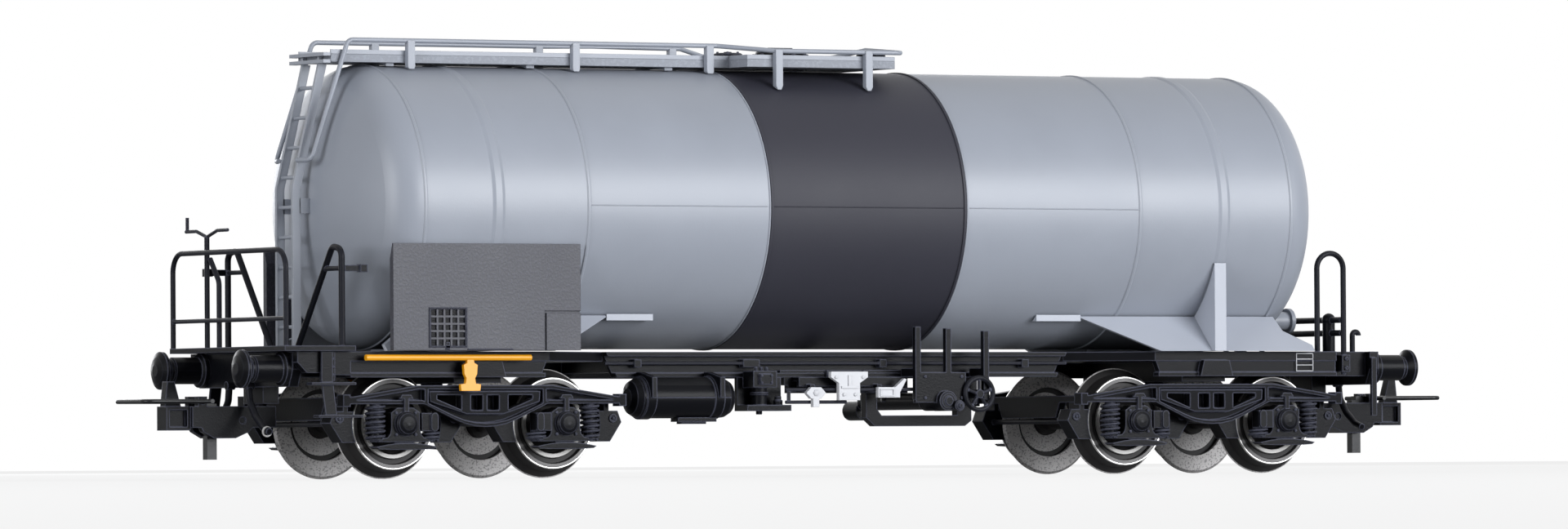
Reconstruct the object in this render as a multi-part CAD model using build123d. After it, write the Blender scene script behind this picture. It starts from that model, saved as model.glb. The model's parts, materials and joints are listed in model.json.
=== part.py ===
# Model railway tank car, 1:87, with swivelling bogies, turning wheelsets and loop couplers.
# Lengths are in millimetres. X runs along the car, and its hand-brake platform is at the -X end.
# Y runs across the car and Z points up from the floor that the wheel flanges stand on.
# The origin lies on that floor under the middle of the car.

import os
from math import atan2, cos, pi, sin

from build123d import *

os.makedirs("parts", exist_ok=True)

# Running gear
wheel_radius = 5.3
flange_depth = 0.9
axle_height = wheel_radius + flange_depth
wheelbase = 20.5
bogie_centres = 96.9
back_to_back = 14.4
wheel_width = 2.8

# Car body
over_buffers = 157.1
tank_radius = 16.1
tank_axis = 30.8
barrel_length = 115.2
head_depth = 7.5
head_knuckle = 4.5
band_half = 13.0
saddle_x = 48.3
saddle_width = 1.6
seat_gap = 0.05

# Heights of the underframe
sole_bottom = 11.4
sole_top = 14.3
floor_bottom = 13.2
headstock_bottom = 10.4
buffer_height = 12.4
buffer_spacing = 20.1

# Widths of the underframe, measured from the middle of the car
sole_half = 13.2
sole_thick = 1.2
recess_half = 11.0
girder_half = 8.2
headstock_half = 12.0

# Stations of the underframe, measured from the middle of the car
headstock_x = 72.4
headstock_thick = 1.2
sole_start = 40.4
sole_end = 65.7
girder_end = 30.8


def block(x0, x1, y0, y1, z0, z1):
    """A box between two opposite corners."""
    size = Box(abs(x1 - x0), abs(y1 - y0), abs(z1 - z0))
    return Pos((x0 + x1) / 2, (y0 + y1) / 2, (z0 + z1) / 2) * size


def bar(p, q, radius):
    """A round bar from one point to another."""
    start, end = Vector(*p), Vector(*q)
    return Solid.make_cylinder(radius, (end - start).length, Plane(origin=start, z_dir=end - start))


def rod(points, bend, radius):
    """A round rod bent along a path of straight runs and tangent arcs."""
    path = FilletPolyline(*points, radius=bend)
    return sweep(Plane(origin=path @ 0, z_dir=path % 0) * Circle(radius), path=path)


def side_plate(points, y0, y1):
    """A plate whose outline is in X and Z, between two places along Y."""
    face = Plane.XZ * Polygon(*points, align=None)
    return Pos(0, min(y0, y1), 0) * extrude(face, amount=abs(y1 - y0), dir=(0, 1, 0))


def cross_plate(points, x0, x1):
    """A plate whose outline is in Y and Z, between two places along X."""
    face = Plane.YZ * Polygon(*points, align=None)
    return Pos(min(x0, x1), 0, 0) * extrude(face, amount=abs(x1 - x0), dir=(1, 0, 0))


def flat_plate(points, z0, z1):
    """A plate whose outline is in X and Y, between two heights."""
    face = Polygon(*points, align=None)
    return Pos(0, 0, min(z0, z1)) * extrude(face, amount=abs(z1 - z0), dir=(0, 0, 1))


def turned(profile, centre, axis):
    """A solid turned about an axis, from a profile of places along the axis and radii."""
    face = Polygon(*profile, align=None)
    solid = revolve(face, Axis.X)
    return Plane(origin=centre, x_dir=axis, z_dir=(0, 0, 1) if axis[2] == 0 else (1, 0, 0)) * solid


def both_sides(shape):
    """The shape and its mirror image on the other side of the car."""
    return shape + mirror(shape, about=Plane.XZ)


def near_end(shape):
    """The shape where it is, at the +X end of the car."""
    return shape


def far_end(shape):
    """The mirror image of the shape at the other end of the car."""
    return mirror(shape, about=Plane.YZ)


def save(node, shape):
    solids = shape.solids()
    part = solids[0] if len(solids) == 1 else Compound(children=solids)
    part.label = node
    export_step(part, "parts/" + node + ".step")


# Tank: a barrel in three lengths, turned about the tank's axis, with dished ends
bead_width = 0.5
bead_height = 0.14
seam_x = 36.7
lip_width = 0.3
barrel_half = barrel_length / 2
crown_radius = ((tank_radius - head_knuckle) ** 2 + head_depth**2 - head_knuckle**2) / (
    2 * (head_depth - head_knuckle)
)
head_turn = atan2(tank_radius - head_knuckle, crown_radius - head_depth)
crown_centre = barrel_half + head_depth - crown_radius
bore_radius = tank_radius + bead_height + seat_gap
tank_bore = Pos(0, 0, tank_axis) * Rot(0, 90, 0) * Cylinder(bore_radius, over_buffers)


def tank_end():
    """The barrel from the dark band to the dished end, on the +X side."""
    bump = [(-1 / 2, 0), (-1 / 4, 1), (1 / 4, 1), (1 / 2, 0)]
    outline = [(band_half, 0), (band_half, tank_radius)]
    rings = ((seam_x, bead_width), (saddle_x, saddle_width), (barrel_half, bead_width))
    for x, width in rings:
        outline += [(x + share * width, tank_radius + lift * bead_height) for share, lift in bump]
    walls = Polyline(*outline)
    middle = head_turn + (pi / 2 - head_turn) / 2
    knuckle_mid = (
        barrel_half + head_knuckle * cos(middle),
        tank_radius - head_knuckle + head_knuckle * sin(middle),
    )
    tangent = (crown_centre + crown_radius * cos(head_turn), crown_radius * sin(head_turn))
    crown_mid = (
        crown_centre + crown_radius * cos(head_turn / 2),
        crown_radius * sin(head_turn / 2),
    )
    apex = (barrel_half + head_depth, 0)
    knuckle = ThreePointArc((barrel_half + bead_width / 2, tank_radius), knuckle_mid, tangent)
    crown = ThreePointArc(tangent, crown_mid, apex)
    base = Line(apex, outline[0])
    face = make_face([walls, knuckle, crown, base])
    return Pos(0, 0, tank_axis) * revolve(face, Axis.X)


def tank_band():
    """The middle course of the barrel, with a thin lip at each edge."""
    lip = lip_width
    outline = [
        (-band_half, 0),
        (-band_half, tank_radius + bead_height),
        (-band_half + lip, tank_radius + bead_height),
        (-band_half + lip, tank_radius),
        (band_half - lip, tank_radius),
        (band_half - lip, tank_radius + bead_height),
        (band_half, tank_radius + bead_height),
        (band_half, 0),
    ]
    return turned(outline, (0, 0, tank_axis), (1, 0, 0))


plain_tank = tank_end()
save("tank_plain_end", plain_tank)
save("tank_brake_end", far_end(plain_tank))
save("tank_band", tank_band())

# Saddles: a cross plate under the saddle band, an upright rib each side, and a sloping wing
# between the barrel and the sole bar, with a half-round strip at its tip
wing_top = 18.6
wing_top_y = 10.45
wing_foot_y = 14.6
wing_thick = 0.7
wing_top_from = 30.9
wing_top_to = 58.4
wing_foot_from = 40.4
wing_foot_to = 61.8
wing_tip = 2.4
strip_from = 25.6
strip_height = 0.75
rib_half = 15.1
rib_top = 24.7
rib_inner = 9.0
cradle_foot = 14.35


def saddle():
    """One saddle, on the +X side."""
    outline = [
        (wing_top_from, wing_top),
        (wing_top_to, wing_top),
        (wing_top_to + wing_thick / 2, cradle_foot + wing_tip),
        (wing_foot_to, cradle_foot + wing_thick),
        (wing_foot_to, cradle_foot),
        (wing_foot_from, cradle_foot),
    ]
    slope = cross_plate(
        [
            (-wing_top_y, wing_top),
            (-wing_foot_y, cradle_foot),
            (-wing_foot_y + wing_thick, cradle_foot),
            (-wing_top_y + wing_thick, wing_top),
        ],
        0,
        over_buffers,
    )
    wing = side_plate(outline, -sole_half * 2, 0) & slope
    half_rib = saddle_width / 2
    rib = block(saddle_x - half_rib, saddle_x + half_rib, -rib_half, -rib_inner, cradle_foot, rib_top)
    cradle = block(
        saddle_x - half_rib, saddle_x + half_rib, -rib_inner, 0, cradle_foot, tank_axis - tank_radius / 2
    )
    strip = block(
        strip_from,
        wing_top_from + strip_height,
        -wing_top_y - strip_height / 2,
        -wing_top_y + strip_height,
        wing_top - strip_height,
        wing_top,
    )
    side = (wing + rib + cradle + strip) - tank_bore
    return both_sides(side)


plain_saddle = saddle()
save("saddle_plain_end", plain_saddle)
save("saddle_brake_end", far_end(plain_saddle))

# Underframe: a pair of girders in the middle, which widen to a frame over each bogie
web_thick = 0.6
girder_flange = 0.9
flange_thick = 0.5
pivot_radius = 1.25
pivot_tip = 7.6
bolster_half = 3.0
bolster_bottom = 10.8
member_half = 0.9
member_bottom = 12.0
panel_low = 11.9
panel_strap_from = 67.8
panel_strap_to = 69.0
panel_strap_low = 11.0
foot_from = 46.8
foot_to = 50.3
foot_half = 13.85
foot_spread = 0.5
pipe_y = 8.75
pipe_z = 13.0
pipe_line_radius = 0.2
clip_half = 0.45
pipe_clip_shares = ((-0.865, 1), (-0.38, 2.4), (0.19, 1), (0.815, 1))


def girder():
    """One girder of the middle frame, a channel open to the outside."""
    slant = sole_top - sole_bottom
    shape = [
        (-girder_end, sole_top),
        (girder_end, sole_top),
        (girder_end - slant / 2, sole_bottom),
        (-girder_end + slant / 2, sole_bottom),
    ]
    solid = side_plate(shape, -girder_half - girder_flange, -girder_half + web_thick)
    hollow = block(
        -girder_end,
        girder_end,
        -girder_half - girder_flange,
        -girder_half,
        sole_bottom + flange_thick,
        sole_top - flange_thick,
    )
    return solid - hollow


def middle_frame():
    """The girders and the cross members between them."""
    stations_share = (-0.86, -0.43, 0, 0.43, 0.86)
    frame = both_sides(girder())
    for share in stations_share:
        x = share * girder_end
        frame += block(
            x - member_half,
            x + member_half,
            -girder_half + web_thick / 2,
            girder_half - web_thick / 2,
            member_bottom,
            sole_top - flange_thick,
        )
    frame += bar((-girder_end, -pipe_y, pipe_z), (girder_end, -pipe_y, pipe_z), pipe_line_radius)
    for share, growth in pipe_clip_shares:
        x = share * girder_end
        half = growth * clip_half
        frame += block(
            x - half,
            x + half,
            -girder_half - girder_flange,
            -girder_half,
            pipe_z - clip_half,
            pipe_z + clip_half,
        )
    return frame


def end_frame():
    """The frame over the bogie on the +X side: a deck, sole bars and a bolster."""
    inner = headstock_x - headstock_thick
    deck = flat_plate(
        [
            (girder_end, -girder_half),
            (sole_start, -sole_half),
            (sole_end, -sole_half),
            (sole_end, -recess_half),
            (inner, -recess_half),
            (inner, recess_half),
            (sole_end, recess_half),
            (sole_end, sole_half),
            (sole_start, sole_half),
            (girder_end, girder_half),
        ],
        floor_bottom,
        sole_top,
    )
    sole = side_plate(
        [
            (sole_start, sole_top - flange_thick),
            (sole_end, sole_top - flange_thick),
            (sole_end, sole_bottom),
            (sole_start + flange_thick * 2, sole_bottom),
        ],
        -sole_half + flange_thick / 2,
        -sole_half + sole_thick,
    )
    sole += block(
        sole_start + flange_thick, sole_end, -sole_half, -sole_half + sole_thick, sole_bottom,
        sole_bottom + flange_thick,
    )
    recess = block(
        sole_end - sole_thick, inner, -recess_half, -recess_half + sole_thick, sole_bottom, floor_bottom
    )
    foot = side_plate(
        [
            (foot_from, sole_top - flange_thick * 2),
            (foot_to, sole_top - flange_thick * 2),
            (foot_to + foot_spread, sole_bottom),
            (foot_from - foot_spread, sole_bottom),
        ],
        -foot_half,
        -sole_half + flange_thick,
    )
    pivot_x = bogie_centres / 2
    bolster = block(
        pivot_x - bolster_half,
        pivot_x + bolster_half,
        -recess_half,
        recess_half,
        bolster_bottom,
        floor_bottom,
    )
    pivot = bar((pivot_x, 0, pivot_tip), (pivot_x, 0, bolster_bottom), pivot_radius)
    return deck + both_sides(sole + recess + foot) + bolster + pivot


def side_panel():
    """The near panel that carries the sole bar on to the headstock under the platform, and its strap."""
    panel = side_plate(
        [
            (sole_end, sole_top),
            (headstock_x, sole_top),
            (headstock_x, panel_low + sole_thick),
            (headstock_x - sole_thick, panel_low),
            (panel_strap_from, panel_low),
            (panel_strap_from, sole_bottom + flange_thick / 2),
            (sole_end, sole_bottom + flange_thick / 2),
        ],
        -sole_half,
        -headstock_half,
    )
    return panel + block(
        panel_strap_from,
        panel_strap_to,
        -sole_half - flange_thick / 2,
        -headstock_half,
        panel_strap_low,
        sole_top,
    )


save("underframe_middle", middle_frame())
plain_frame = end_frame()
save("underframe_plain_end", plain_frame)
save("underframe_brake_end", far_end(plain_frame + both_sides(side_panel())))

# Headstocks and buffers
buffer_plate_radius = 2.15
buffer_face = over_buffers / 2
buffer_profile_shares = (
    (0, 0), (0, 0.9), (0.1, 0.9), (0.14, 0.71), (0.66, 0.71), (0.68, 0.62), (0.74, 0.62),
    (0.84, 1), (0.9, 1), (0.96, 0.7), (1, 0.3), (1, 0),
)


def buffers():
    """The pair of buffers on the +X headstock."""
    reach = buffer_face - headstock_x
    profile = [(along * reach, out * buffer_plate_radius) for along, out in buffer_profile_shares]
    return both_sides(turned(profile, (headstock_x, -buffer_spacing / 2, buffer_height), (1, 0, 0)))


strap_wide = 0.7
strap_thick = 0.4
strap_low = 6.7


def headstock():
    """The cross beam at the +X end, with its lower corners cut away and the coupler's bracket."""
    cut = (sole_top - headstock_bottom) / 2
    outline = [
        (-headstock_half, sole_top),
        (headstock_half, sole_top),
        (headstock_half, headstock_bottom + cut),
        (headstock_half - cut / 2, headstock_bottom),
        (-headstock_half + cut / 2, headstock_bottom),
        (-headstock_half, headstock_bottom + cut),
    ]
    return cross_plate(outline, headstock_x - headstock_thick, headstock_x)


def corner_strap():
    """The near hanging strap on the end of the +X headstock."""
    return block(
        headstock_x - strap_wide - flange_thick, headstock_x - flange_thick, -headstock_half - strap_thick,
        -headstock_half, strap_low, sole_top - strap_wide,
    )


save("headstock_plain_end", headstock() + both_sides(corner_strap()))
save("headstock_brake_end", far_end(headstock()))
save("buffers_plain_end", buffers())
save("buffers_brake_end", far_end(buffers()))

# Bogies: two fish-bellied side frames joined by a bolster and two end beams
bogie_top = 10.5
frame_outer = 13.0
frame_inner = 11.4
frame_web = 0.7
frame_rib = 0.45
frame_half = 17.2
frame_cap = 0.9
frame_cap_low = 8.1
frame_cap_top = 9.5
frame_end_top = 9.2
frame_end_bottom = 8.4
frame_low = 5.8
crest_half = 8.6
belly_half = 7.9
belly_low_half = 2.8
belly_shares = (
    (1, 1), (0.72, 0.62), (0.5, 0.32), (0.33, 0.13), (0.16, 0.03), (0, 0),
    (-0.16, 0.03), (-0.33, 0.13), (-0.5, 0.32), (-0.72, 0.62), (-1, 1),
)
window_top = 9.4
window_bottom = 7.7
window_half = 0.75
window_pitch = 1.05
corner_window_from = 3.0
corner_window_to = 6.1
corner_window_low = 8.2
post_x = 7.55
bolster_top = 10.0
bolster_low = 7.6
bogie_bolster_half = 2.7
pivot_slack = 0.1
end_beam_inner = 16.4
end_beam_outer = 17.4
end_beam_depth = 2.6
end_beam_deep_half = 6.0
axlebox_face = 13.9
axlebox_cover = 1.35
axlebox_half = 3.4
axlebox_top = 8.0
axlebox_low = 4.15
axlebox_shares = (
    (-1, 0), (-1, 0.09), (-0.68, 0.13), (-0.58, 0.22), (-0.53, 0.4), (-0.53, 0.86), (-0.3, 1),
    (0.3, 1), (0.53, 0.86), (0.53, 0.4), (0.58, 0.22), (0.68, 0.13), (1, 0.09), (1, 0),
)
cover_shares = ((0, 0), (0, 1), (0.55, 1), (0.8, 0.86), (0.95, 0.55), (1, 0))
tray_half = 3.8
tray_thick = 0.75
tray_gap = 0.12
tray_lug = 1.2
tray_shares = (
    (-1, 0.45), (-0.6, 0.82), (-0.25, 1), (0.25, 1), (0.6, 0.82), (1, 0.45),
    (0.9, 0.12), (0.5, 0), (-0.5, 0), (-0.9, 0.12),
)
stop_half = 0.28
stop_foot = 9.0
stop_top = 9.45
stop_wide = 0.85
stop_thick = 0.3
damper_from = 1.95
damper_to = 3.9
damper_low = 5.35
damper_top = 7.4
damper_face = 13.2
link_half = 0.42
link_wide = 0.45
spring_offset = 3.45
spring_radius = 0.95
spring_coils = 5
journal_radius = 0.5
journal_slack = 0.1


def belly(inset):
    """Outline of the side frame, or with an inset, of the recess inside its ribs."""
    slope = (bogie_top - frame_end_top) / (frame_half - crest_half)
    narrow = frame_end_top - frame_end_bottom - 2 * inset
    end = frame_half + min(0, narrow) / slope
    depth = max(0, narrow)
    foot = frame_end_bottom + inset
    outline = [
        (-end, foot + depth),
        (-crest_half, bogie_top - inset),
        (crest_half, bogie_top - inset),
        (end, foot + depth),
        (end - inset, foot),
    ]
    outline += [
        (along * (belly_half + inset / 2), frame_low + inset + up * (frame_end_bottom - frame_low))
        for along, up in belly_shares
    ]
    return outline + [(-end + inset, foot)]


def side_frame():
    """The near side frame of a bogie that stands at the origin."""
    frame = side_plate(belly(0), -frame_outer, -frame_inner)
    frame -= side_plate(belly(frame_rib), -frame_outer, -frame_inner - frame_web)
    panel = [
        (-post_x + frame_rib, window_top + frame_rib),
        (post_x - frame_rib, window_top + frame_rib),
        (corner_window_to + frame_rib * 2, corner_window_low + frame_rib),
        (belly_low_half - frame_rib, window_bottom - frame_rib),
        (-belly_low_half + frame_rib, window_bottom - frame_rib),
        (-corner_window_to - frame_rib * 2, corner_window_low + frame_rib),
    ]
    frame += side_plate(panel, -frame_outer + frame_rib / 2, -frame_inner)
    for x in (-post_x, post_x):
        frame += block(
            x - frame_rib / 2, x + frame_rib / 2, -frame_outer, -frame_inner, frame_end_bottom,
            bogie_top - frame_rib / 2,
        )
    for side in (-1, 1):
        middle = side * window_pitch
        frame -= block(
            middle - window_half, middle + window_half, -frame_outer, -frame_inner, window_bottom, window_top
        )
        corner = [
            (side * corner_window_from, window_top),
            (side * corner_window_to, window_top),
            (side * corner_window_to, window_top - frame_rib),
            (side * corner_window_from, corner_window_low - frame_rib),
        ]
        frame -= side_plate(corner, -frame_outer, -frame_inner)
    return frame


def bogie_frame():
    """Side frames, bolster and end beams, joined, about the bogie's centre."""
    frame = both_sides(side_frame())
    frame += block(
        -bogie_bolster_half, bogie_bolster_half, -frame_inner, frame_inner, bolster_low, bolster_top
    )
    for side in (-1, 1):
        inner, outer = side * end_beam_inner, side * end_beam_outer
        frame += block(inner, outer, -frame_outer, frame_outer, frame_end_bottom, frame_end_top)
        deep = [
            (-end_beam_deep_half - frame_rib * 2, frame_end_bottom),
            (end_beam_deep_half + frame_rib * 2, frame_end_bottom),
            (end_beam_deep_half, frame_end_top - end_beam_depth),
            (-end_beam_deep_half, frame_end_top - end_beam_depth),
        ]
        frame += cross_plate(deep, inner, outer)
        cap_x = (side * frame_half, side * (frame_half + frame_cap))
        frame += both_sides(block(*cap_x, -frame_outer, -frame_inner, frame_cap_low, frame_cap_top))
    frame -= bar((0, 0, bolster_low), (0, 0, bolster_top), pivot_radius + pivot_slack)
    return frame


def axlebox(x):
    """One near axlebox with its cover, stop, tray, outer spring and inner friction block."""
    inward = -1 if x > 0 else 1
    height = axlebox_top - axlebox_low
    body = [(x + along * axlebox_half, axlebox_low + up * height) for along, up in axlebox_shares]
    box = side_plate(body, -frame_outer, -frame_inner)
    reach = axlebox_face - frame_outer
    cover = [(along * reach, out * axlebox_cover) for along, out in cover_shares]
    box += turned(cover, (x, -frame_outer, axle_height), (0, -1, 0))
    tray_low = axlebox_low - tray_gap - tray_thick
    tray = [(x + along * tray_half, tray_low + up * tray_thick) for along, up in tray_shares]
    box += side_plate(tray, -frame_outer - stop_thick, -frame_inner)
    box += block(
        x - tray_lug,
        x + tray_lug,
        -frame_outer + stop_thick,
        -frame_inner,
        axlebox_low - tray_gap,
        axlebox_low,
    )
    box += block(
        x - stop_half, x + stop_half, -frame_outer - stop_thick, -frame_outer, axle_height, stop_foot
    )
    box += side_plate(
        [
            (x - stop_wide, stop_foot),
            (x + stop_wide, stop_foot),
            (x + stop_wide * 2 / 3, stop_top),
            (x - stop_wide * 2 / 3, stop_top),
        ],
        -frame_outer - stop_thick,
        -frame_outer,
    )
    damper_x = (x + inward * damper_from, x + inward * damper_to)
    box += block(*damper_x, -damper_face, -frame_inner - journal_radius / 2, damper_low, damper_top)
    link_x = x + inward * (damper_to - link_half)
    link_rise = (damper_top - damper_low) / 2 - link_half
    for lift in (-1, 1):
        z = (damper_top + damper_low) / 2 + lift * link_rise
        box += bar((link_x, -damper_face, z), (link_x, -damper_face - stop_thick, z), link_wide)
    box += block(
        link_x - link_wide, link_x + link_wide, -damper_face - stop_thick, -damper_face,
        (damper_top + damper_low) / 2 - link_rise, (damper_top + damper_low) / 2 + link_rise,
    )
    sy = -(frame_outer + frame_inner) / 2
    for side, top in ((inward, damper_low), (-inward, frame_end_bottom)):
        sx = x + side * spring_offset
        pitch = (frame_end_bottom - axlebox_low) / spring_coils
        box += bar((sx, sy, axlebox_low), (sx, sy, top), spring_radius * 2 / 3)
        for turn in range(int((top - axlebox_low) / pitch)):
            z = axlebox_low + (turn + 1 / 4) * pitch
            box += bar((sx, sy, z), (sx, sy, z + pitch / 2), spring_radius)
    return box - bar(
        (x, -frame_inner, axle_height),
        (x, -frame_outer, axle_height),
        journal_radius + journal_slack,
    )


def axleboxes():
    """Four axleboxes, about the bogie's centre."""
    return both_sides(axlebox(-wheelbase / 2) + axlebox(wheelbase / 2))


# Brake rigging: a shoe in its holder each side of each wheel, on cross bars
shoe_gap = 0.3
shoe_inner = 8.4
shoe_outer = 10.8
shoe_low = 4.1
holder_points = ((-0.9, 7.6), (2.3, 7.6), (2.8, 6.3), (1.3, shoe_low), (-0.9, shoe_low))
hanger_pin = 0.3
hanger_from = 0.55
hanger_to = 1.15
flange_width = 0.9


def brake_rigging():
    """Shoe holders, hangers and cross bars of one bogie."""
    reach = wheel_radius + shoe_gap
    shape = None
    for end in (-1, 1):
        x = end * wheelbase / 2
        tread = bar((x, -shoe_outer, axle_height), (x, shoe_outer, axle_height), reach)
        for side in (-1, 1):
            tip = x + side * reach
            outline = [(tip + side * out, z) for out, z in holder_points]
            holder = side_plate(outline, -shoe_outer, -shoe_inner) - tread
            if side == end:
                holder += block(
                    tip + side * hanger_from,
                    tip + side * hanger_to,
                    -shoe_outer,
                    -shoe_inner,
                    axle_height,
                    frame_end_bottom,
                )
            bar_x = tip + side * (flange_depth + hanger_pin)
            cross = bar((bar_x, -shoe_inner, axle_height), (bar_x, shoe_inner, axle_height), hanger_pin)
            piece = both_sides(holder) + cross
            shape = piece if shape is None else shape + piece
    return shape


# Wheelset: axle and two wheels, turned about the axle
axle_radius = 0.9
hub_radius = 1.5
rim_inner_radius = 4.1
rim_inset = 0.7
cone = 0.15
wheel_face = (
    (0, 4.6), (0.5, 4.5), (0.5, 4.0), (0.12, 3.9), (0.12, 3.45), (0.75, 3.3), (0.95, 2.4), (0.95, 1.7),
    (0.15, 1.45), (0, 1.2),
)


def wheelset():
    """An axle with its two wheels, turned about the axle."""
    inner = back_to_back / 2
    outer = inner + wheel_width
    half = [
        (0, axle_radius),
        (inner, axle_radius),
        (inner, hub_radius),
        (inner + rim_inset, hub_radius),
        (inner + rim_inset, rim_inner_radius),
        (inner, rim_inner_radius),
        (inner, wheel_radius + flange_depth * 2 / 3),
        (inner + flange_width / 3, wheel_radius + flange_depth),
        (inner + flange_width, wheel_radius + cone),
        (outer, wheel_radius - cone),
    ]
    half += [(outer - depth, out) for depth, out in wheel_face]
    half += [
        (outer, journal_radius),
        (frame_outer - journal_radius, journal_radius),
        (frame_outer - journal_slack * 2, 0),
    ]
    outline = half + [(-along, out) for along, out in reversed(half)]
    return turned(outline, (0, 0, axle_height), (0, 1, 0))


ends = (("brake_end", -1), ("plain_end", 1))
bogie = bogie_frame()
boxes = axleboxes()
rigging = brake_rigging()
axle = wheelset()
for end_name, side in ends:
    centre = Pos(side * bogie_centres / 2, 0, 0)
    save("bogie_frame_" + end_name, centre * bogie)
    save("axleboxes_" + end_name, centre * boxes)
    save("brake_shoes_" + end_name, centre * rigging)
    for place, step in (("outer", side), ("inner", -side)):
        save("wheelset_" + end_name + "_" + place, centre * Pos(step * wheelbase / 2, 0, 0) * axle)

# Couplers: a shank on a swivel, a hook head, and a loop that lifts on a cross pin
coupler_pivot_x = 70.3
coupler_half = 1.7
coupler_low = 5.9
coupler_top = 8.3
coupler_back = 69.2
pocket_from = 71.7
pocket_to = 78.9
pocket_low = 4.7
pocket_hole = 0.4
pocket_shares = (
    (0, 0.72), (0.05, 1), (0.94, 1), (1, 0.84), (1, 0.5),
    (0.92, 0.2), (0.74, 0), (0.36, 0), (0.12, 0.2), (0, 0.45),
)
head_from = 79.7
head_to = 82.7
head_half = 1.2
head_low = 5.6
head_wall = 0.4
hook_from = 81.2
hook_to = 82.6
hook_top = 11.1
hook_half = 0.6
slot_from = 75.5
slot_half = 0.8
lever_half = 0.55
lever_x = 76.7
lever_wide = 1.2
lever_low = 2.3
loop_pin_x = 78.4
loop_height = 8.85
loop_radius = 0.25
loop_half = 3.9
loop_tip = 86.6
loop_bend = 0.9
pin_slack = 0.08
ear_half = 0.55
mount_half = 2.4
swivel_pin = 0.7
swivel_gap = 0.25


def coupler_mount():
    """The block under the +X headstock that carries the coupler's swivel pin."""
    top = sole_bottom + flange_thick
    shape = block(coupler_back, headstock_x - headstock_thick, -mount_half, mount_half,
                  coupler_top + swivel_gap, floor_bottom)
    pin = bar((coupler_pivot_x, 0, coupler_low), (coupler_pivot_x, 0, top), swivel_pin)
    return shape + pin


def coupler():
    """The +X coupler's shank and head, with ears for the loop's pin."""
    shank = block(coupler_back, head_from, -coupler_half, coupler_half, coupler_low, coupler_top)
    length = pocket_to - pocket_from
    pocket = [
        (pocket_from + along * length, pocket_low + up * (coupler_top - pocket_low))
        for along, up in pocket_shares
    ]
    shank += side_plate(pocket, -coupler_half, coupler_half)
    shank -= block(slot_from, head_from, -slot_half, slot_half, 0, sole_top)
    for y in (-coupler_half, coupler_half):
        rivet = (pocket_from + coupler_half, y, (coupler_low + coupler_top) / 2 - pocket_hole)
        shank -= Pos(*rivet) * Rot(90, 0, 0) * Cylinder(pocket_hole, pocket_hole)
    head = block(head_from, head_to, -head_half, head_half, head_low, coupler_top)
    head -= block(head_from + head_wall, head_to - head_wall, -head_half, -hook_half, head_low + head_wall,
                  coupler_top - head_wall)
    head -= block(head_from + head_wall, head_to - head_wall, hook_half, head_half, head_low + head_wall,
                  coupler_top - head_wall)
    hook = side_plate(
        [
            (head_from, coupler_low),
            (hook_to, coupler_low),
            (hook_to, coupler_top),
            (hook_to - hook_half / 2, hook_top),
            (hook_to - hook_half * 2, hook_top),
            (hook_from - hook_half, coupler_top),
            (head_from, coupler_top),
        ],
        -hook_half,
        hook_half,
    )
    ears = block(
        loop_pin_x - ear_half, loop_pin_x + ear_half, -coupler_half, -slot_half, coupler_top,
        loop_height + ear_half,
    )
    pin_hole = bar(
        (loop_pin_x, -coupler_half * 2, loop_height),
        (loop_pin_x, coupler_half * 2, loop_height),
        loop_radius + pin_slack,
    )
    swivel = bar(
        (coupler_pivot_x, 0, 0), (coupler_pivot_x, 0, sole_top), swivel_pin + pivot_slack
    )
    return shank + head + hook + both_sides(ears) - pin_hole - swivel


def coupler_loop():
    """The +X loop: a bent wire bow on a cross pin, with the lever that lifts it."""
    bow = rod(
        [
            (loop_pin_x, -loop_half, loop_height),
            (loop_tip, -loop_half, loop_height),
            (loop_tip, loop_half, loop_height),
            (loop_pin_x, loop_half, loop_height),
        ],
        loop_bend,
        loop_radius,
    )
    pin = bar(
        (loop_pin_x, -loop_half - loop_radius, loop_height),
        (loop_pin_x, loop_half + loop_radius, loop_height),
        loop_radius,
    )
    lever = block(
        lever_x - lever_wide / 2, lever_x + lever_wide / 2, -lever_half, lever_half, lever_low,
        loop_height - loop_radius,
    )
    lever += block(
        lever_x, loop_pin_x, -lever_half, lever_half, loop_height - loop_radius * 2,
        loop_height + loop_radius,
    )
    return bow + pin + lever


for end_name, side in ends:
    place = far_end if side < 0 else near_end
    save("coupler_mount_" + end_name, place(coupler_mount()))
    save("coupler_" + end_name, place(coupler()))
    save("coupler_loop_" + end_name, place(coupler_loop()))

# End platform, its railing and the hand brake
platform_x = 74.2
platform_half = 14.3
platform_low = 14.35
platform_top = 14.95
platform_inner = 65.6
rail_radius = 0.3
railing_half = 14.0
railing_top = 25.7
railing_middle = 18.0
railing_bend = 2.2


def railing():
    """The bent rail across the end of the platform, with its middle bar."""
    x = -platform_x
    frame = rod(
        [
            (x, -railing_half, platform_top),
            (x, -railing_half, railing_top),
            (x, railing_half, railing_top),
            (x, railing_half, platform_top),
        ],
        railing_bend,
        rail_radius,
    )
    middle = bar((x, -railing_half, railing_middle), (x, railing_half, railing_middle), rail_radius * 5 / 6)
    return frame + middle


def platform():
    return block(
        -platform_x - rail_radius, -platform_inner, -platform_half, platform_half, platform_low, platform_top
    )


brake_x = 73.3
brake_y = 7.2
brake_top = 28.2
crank_reach = 5.2
crank_rise = 1.6
crank_dip = 0.7
spindle_radius = 0.3


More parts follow.
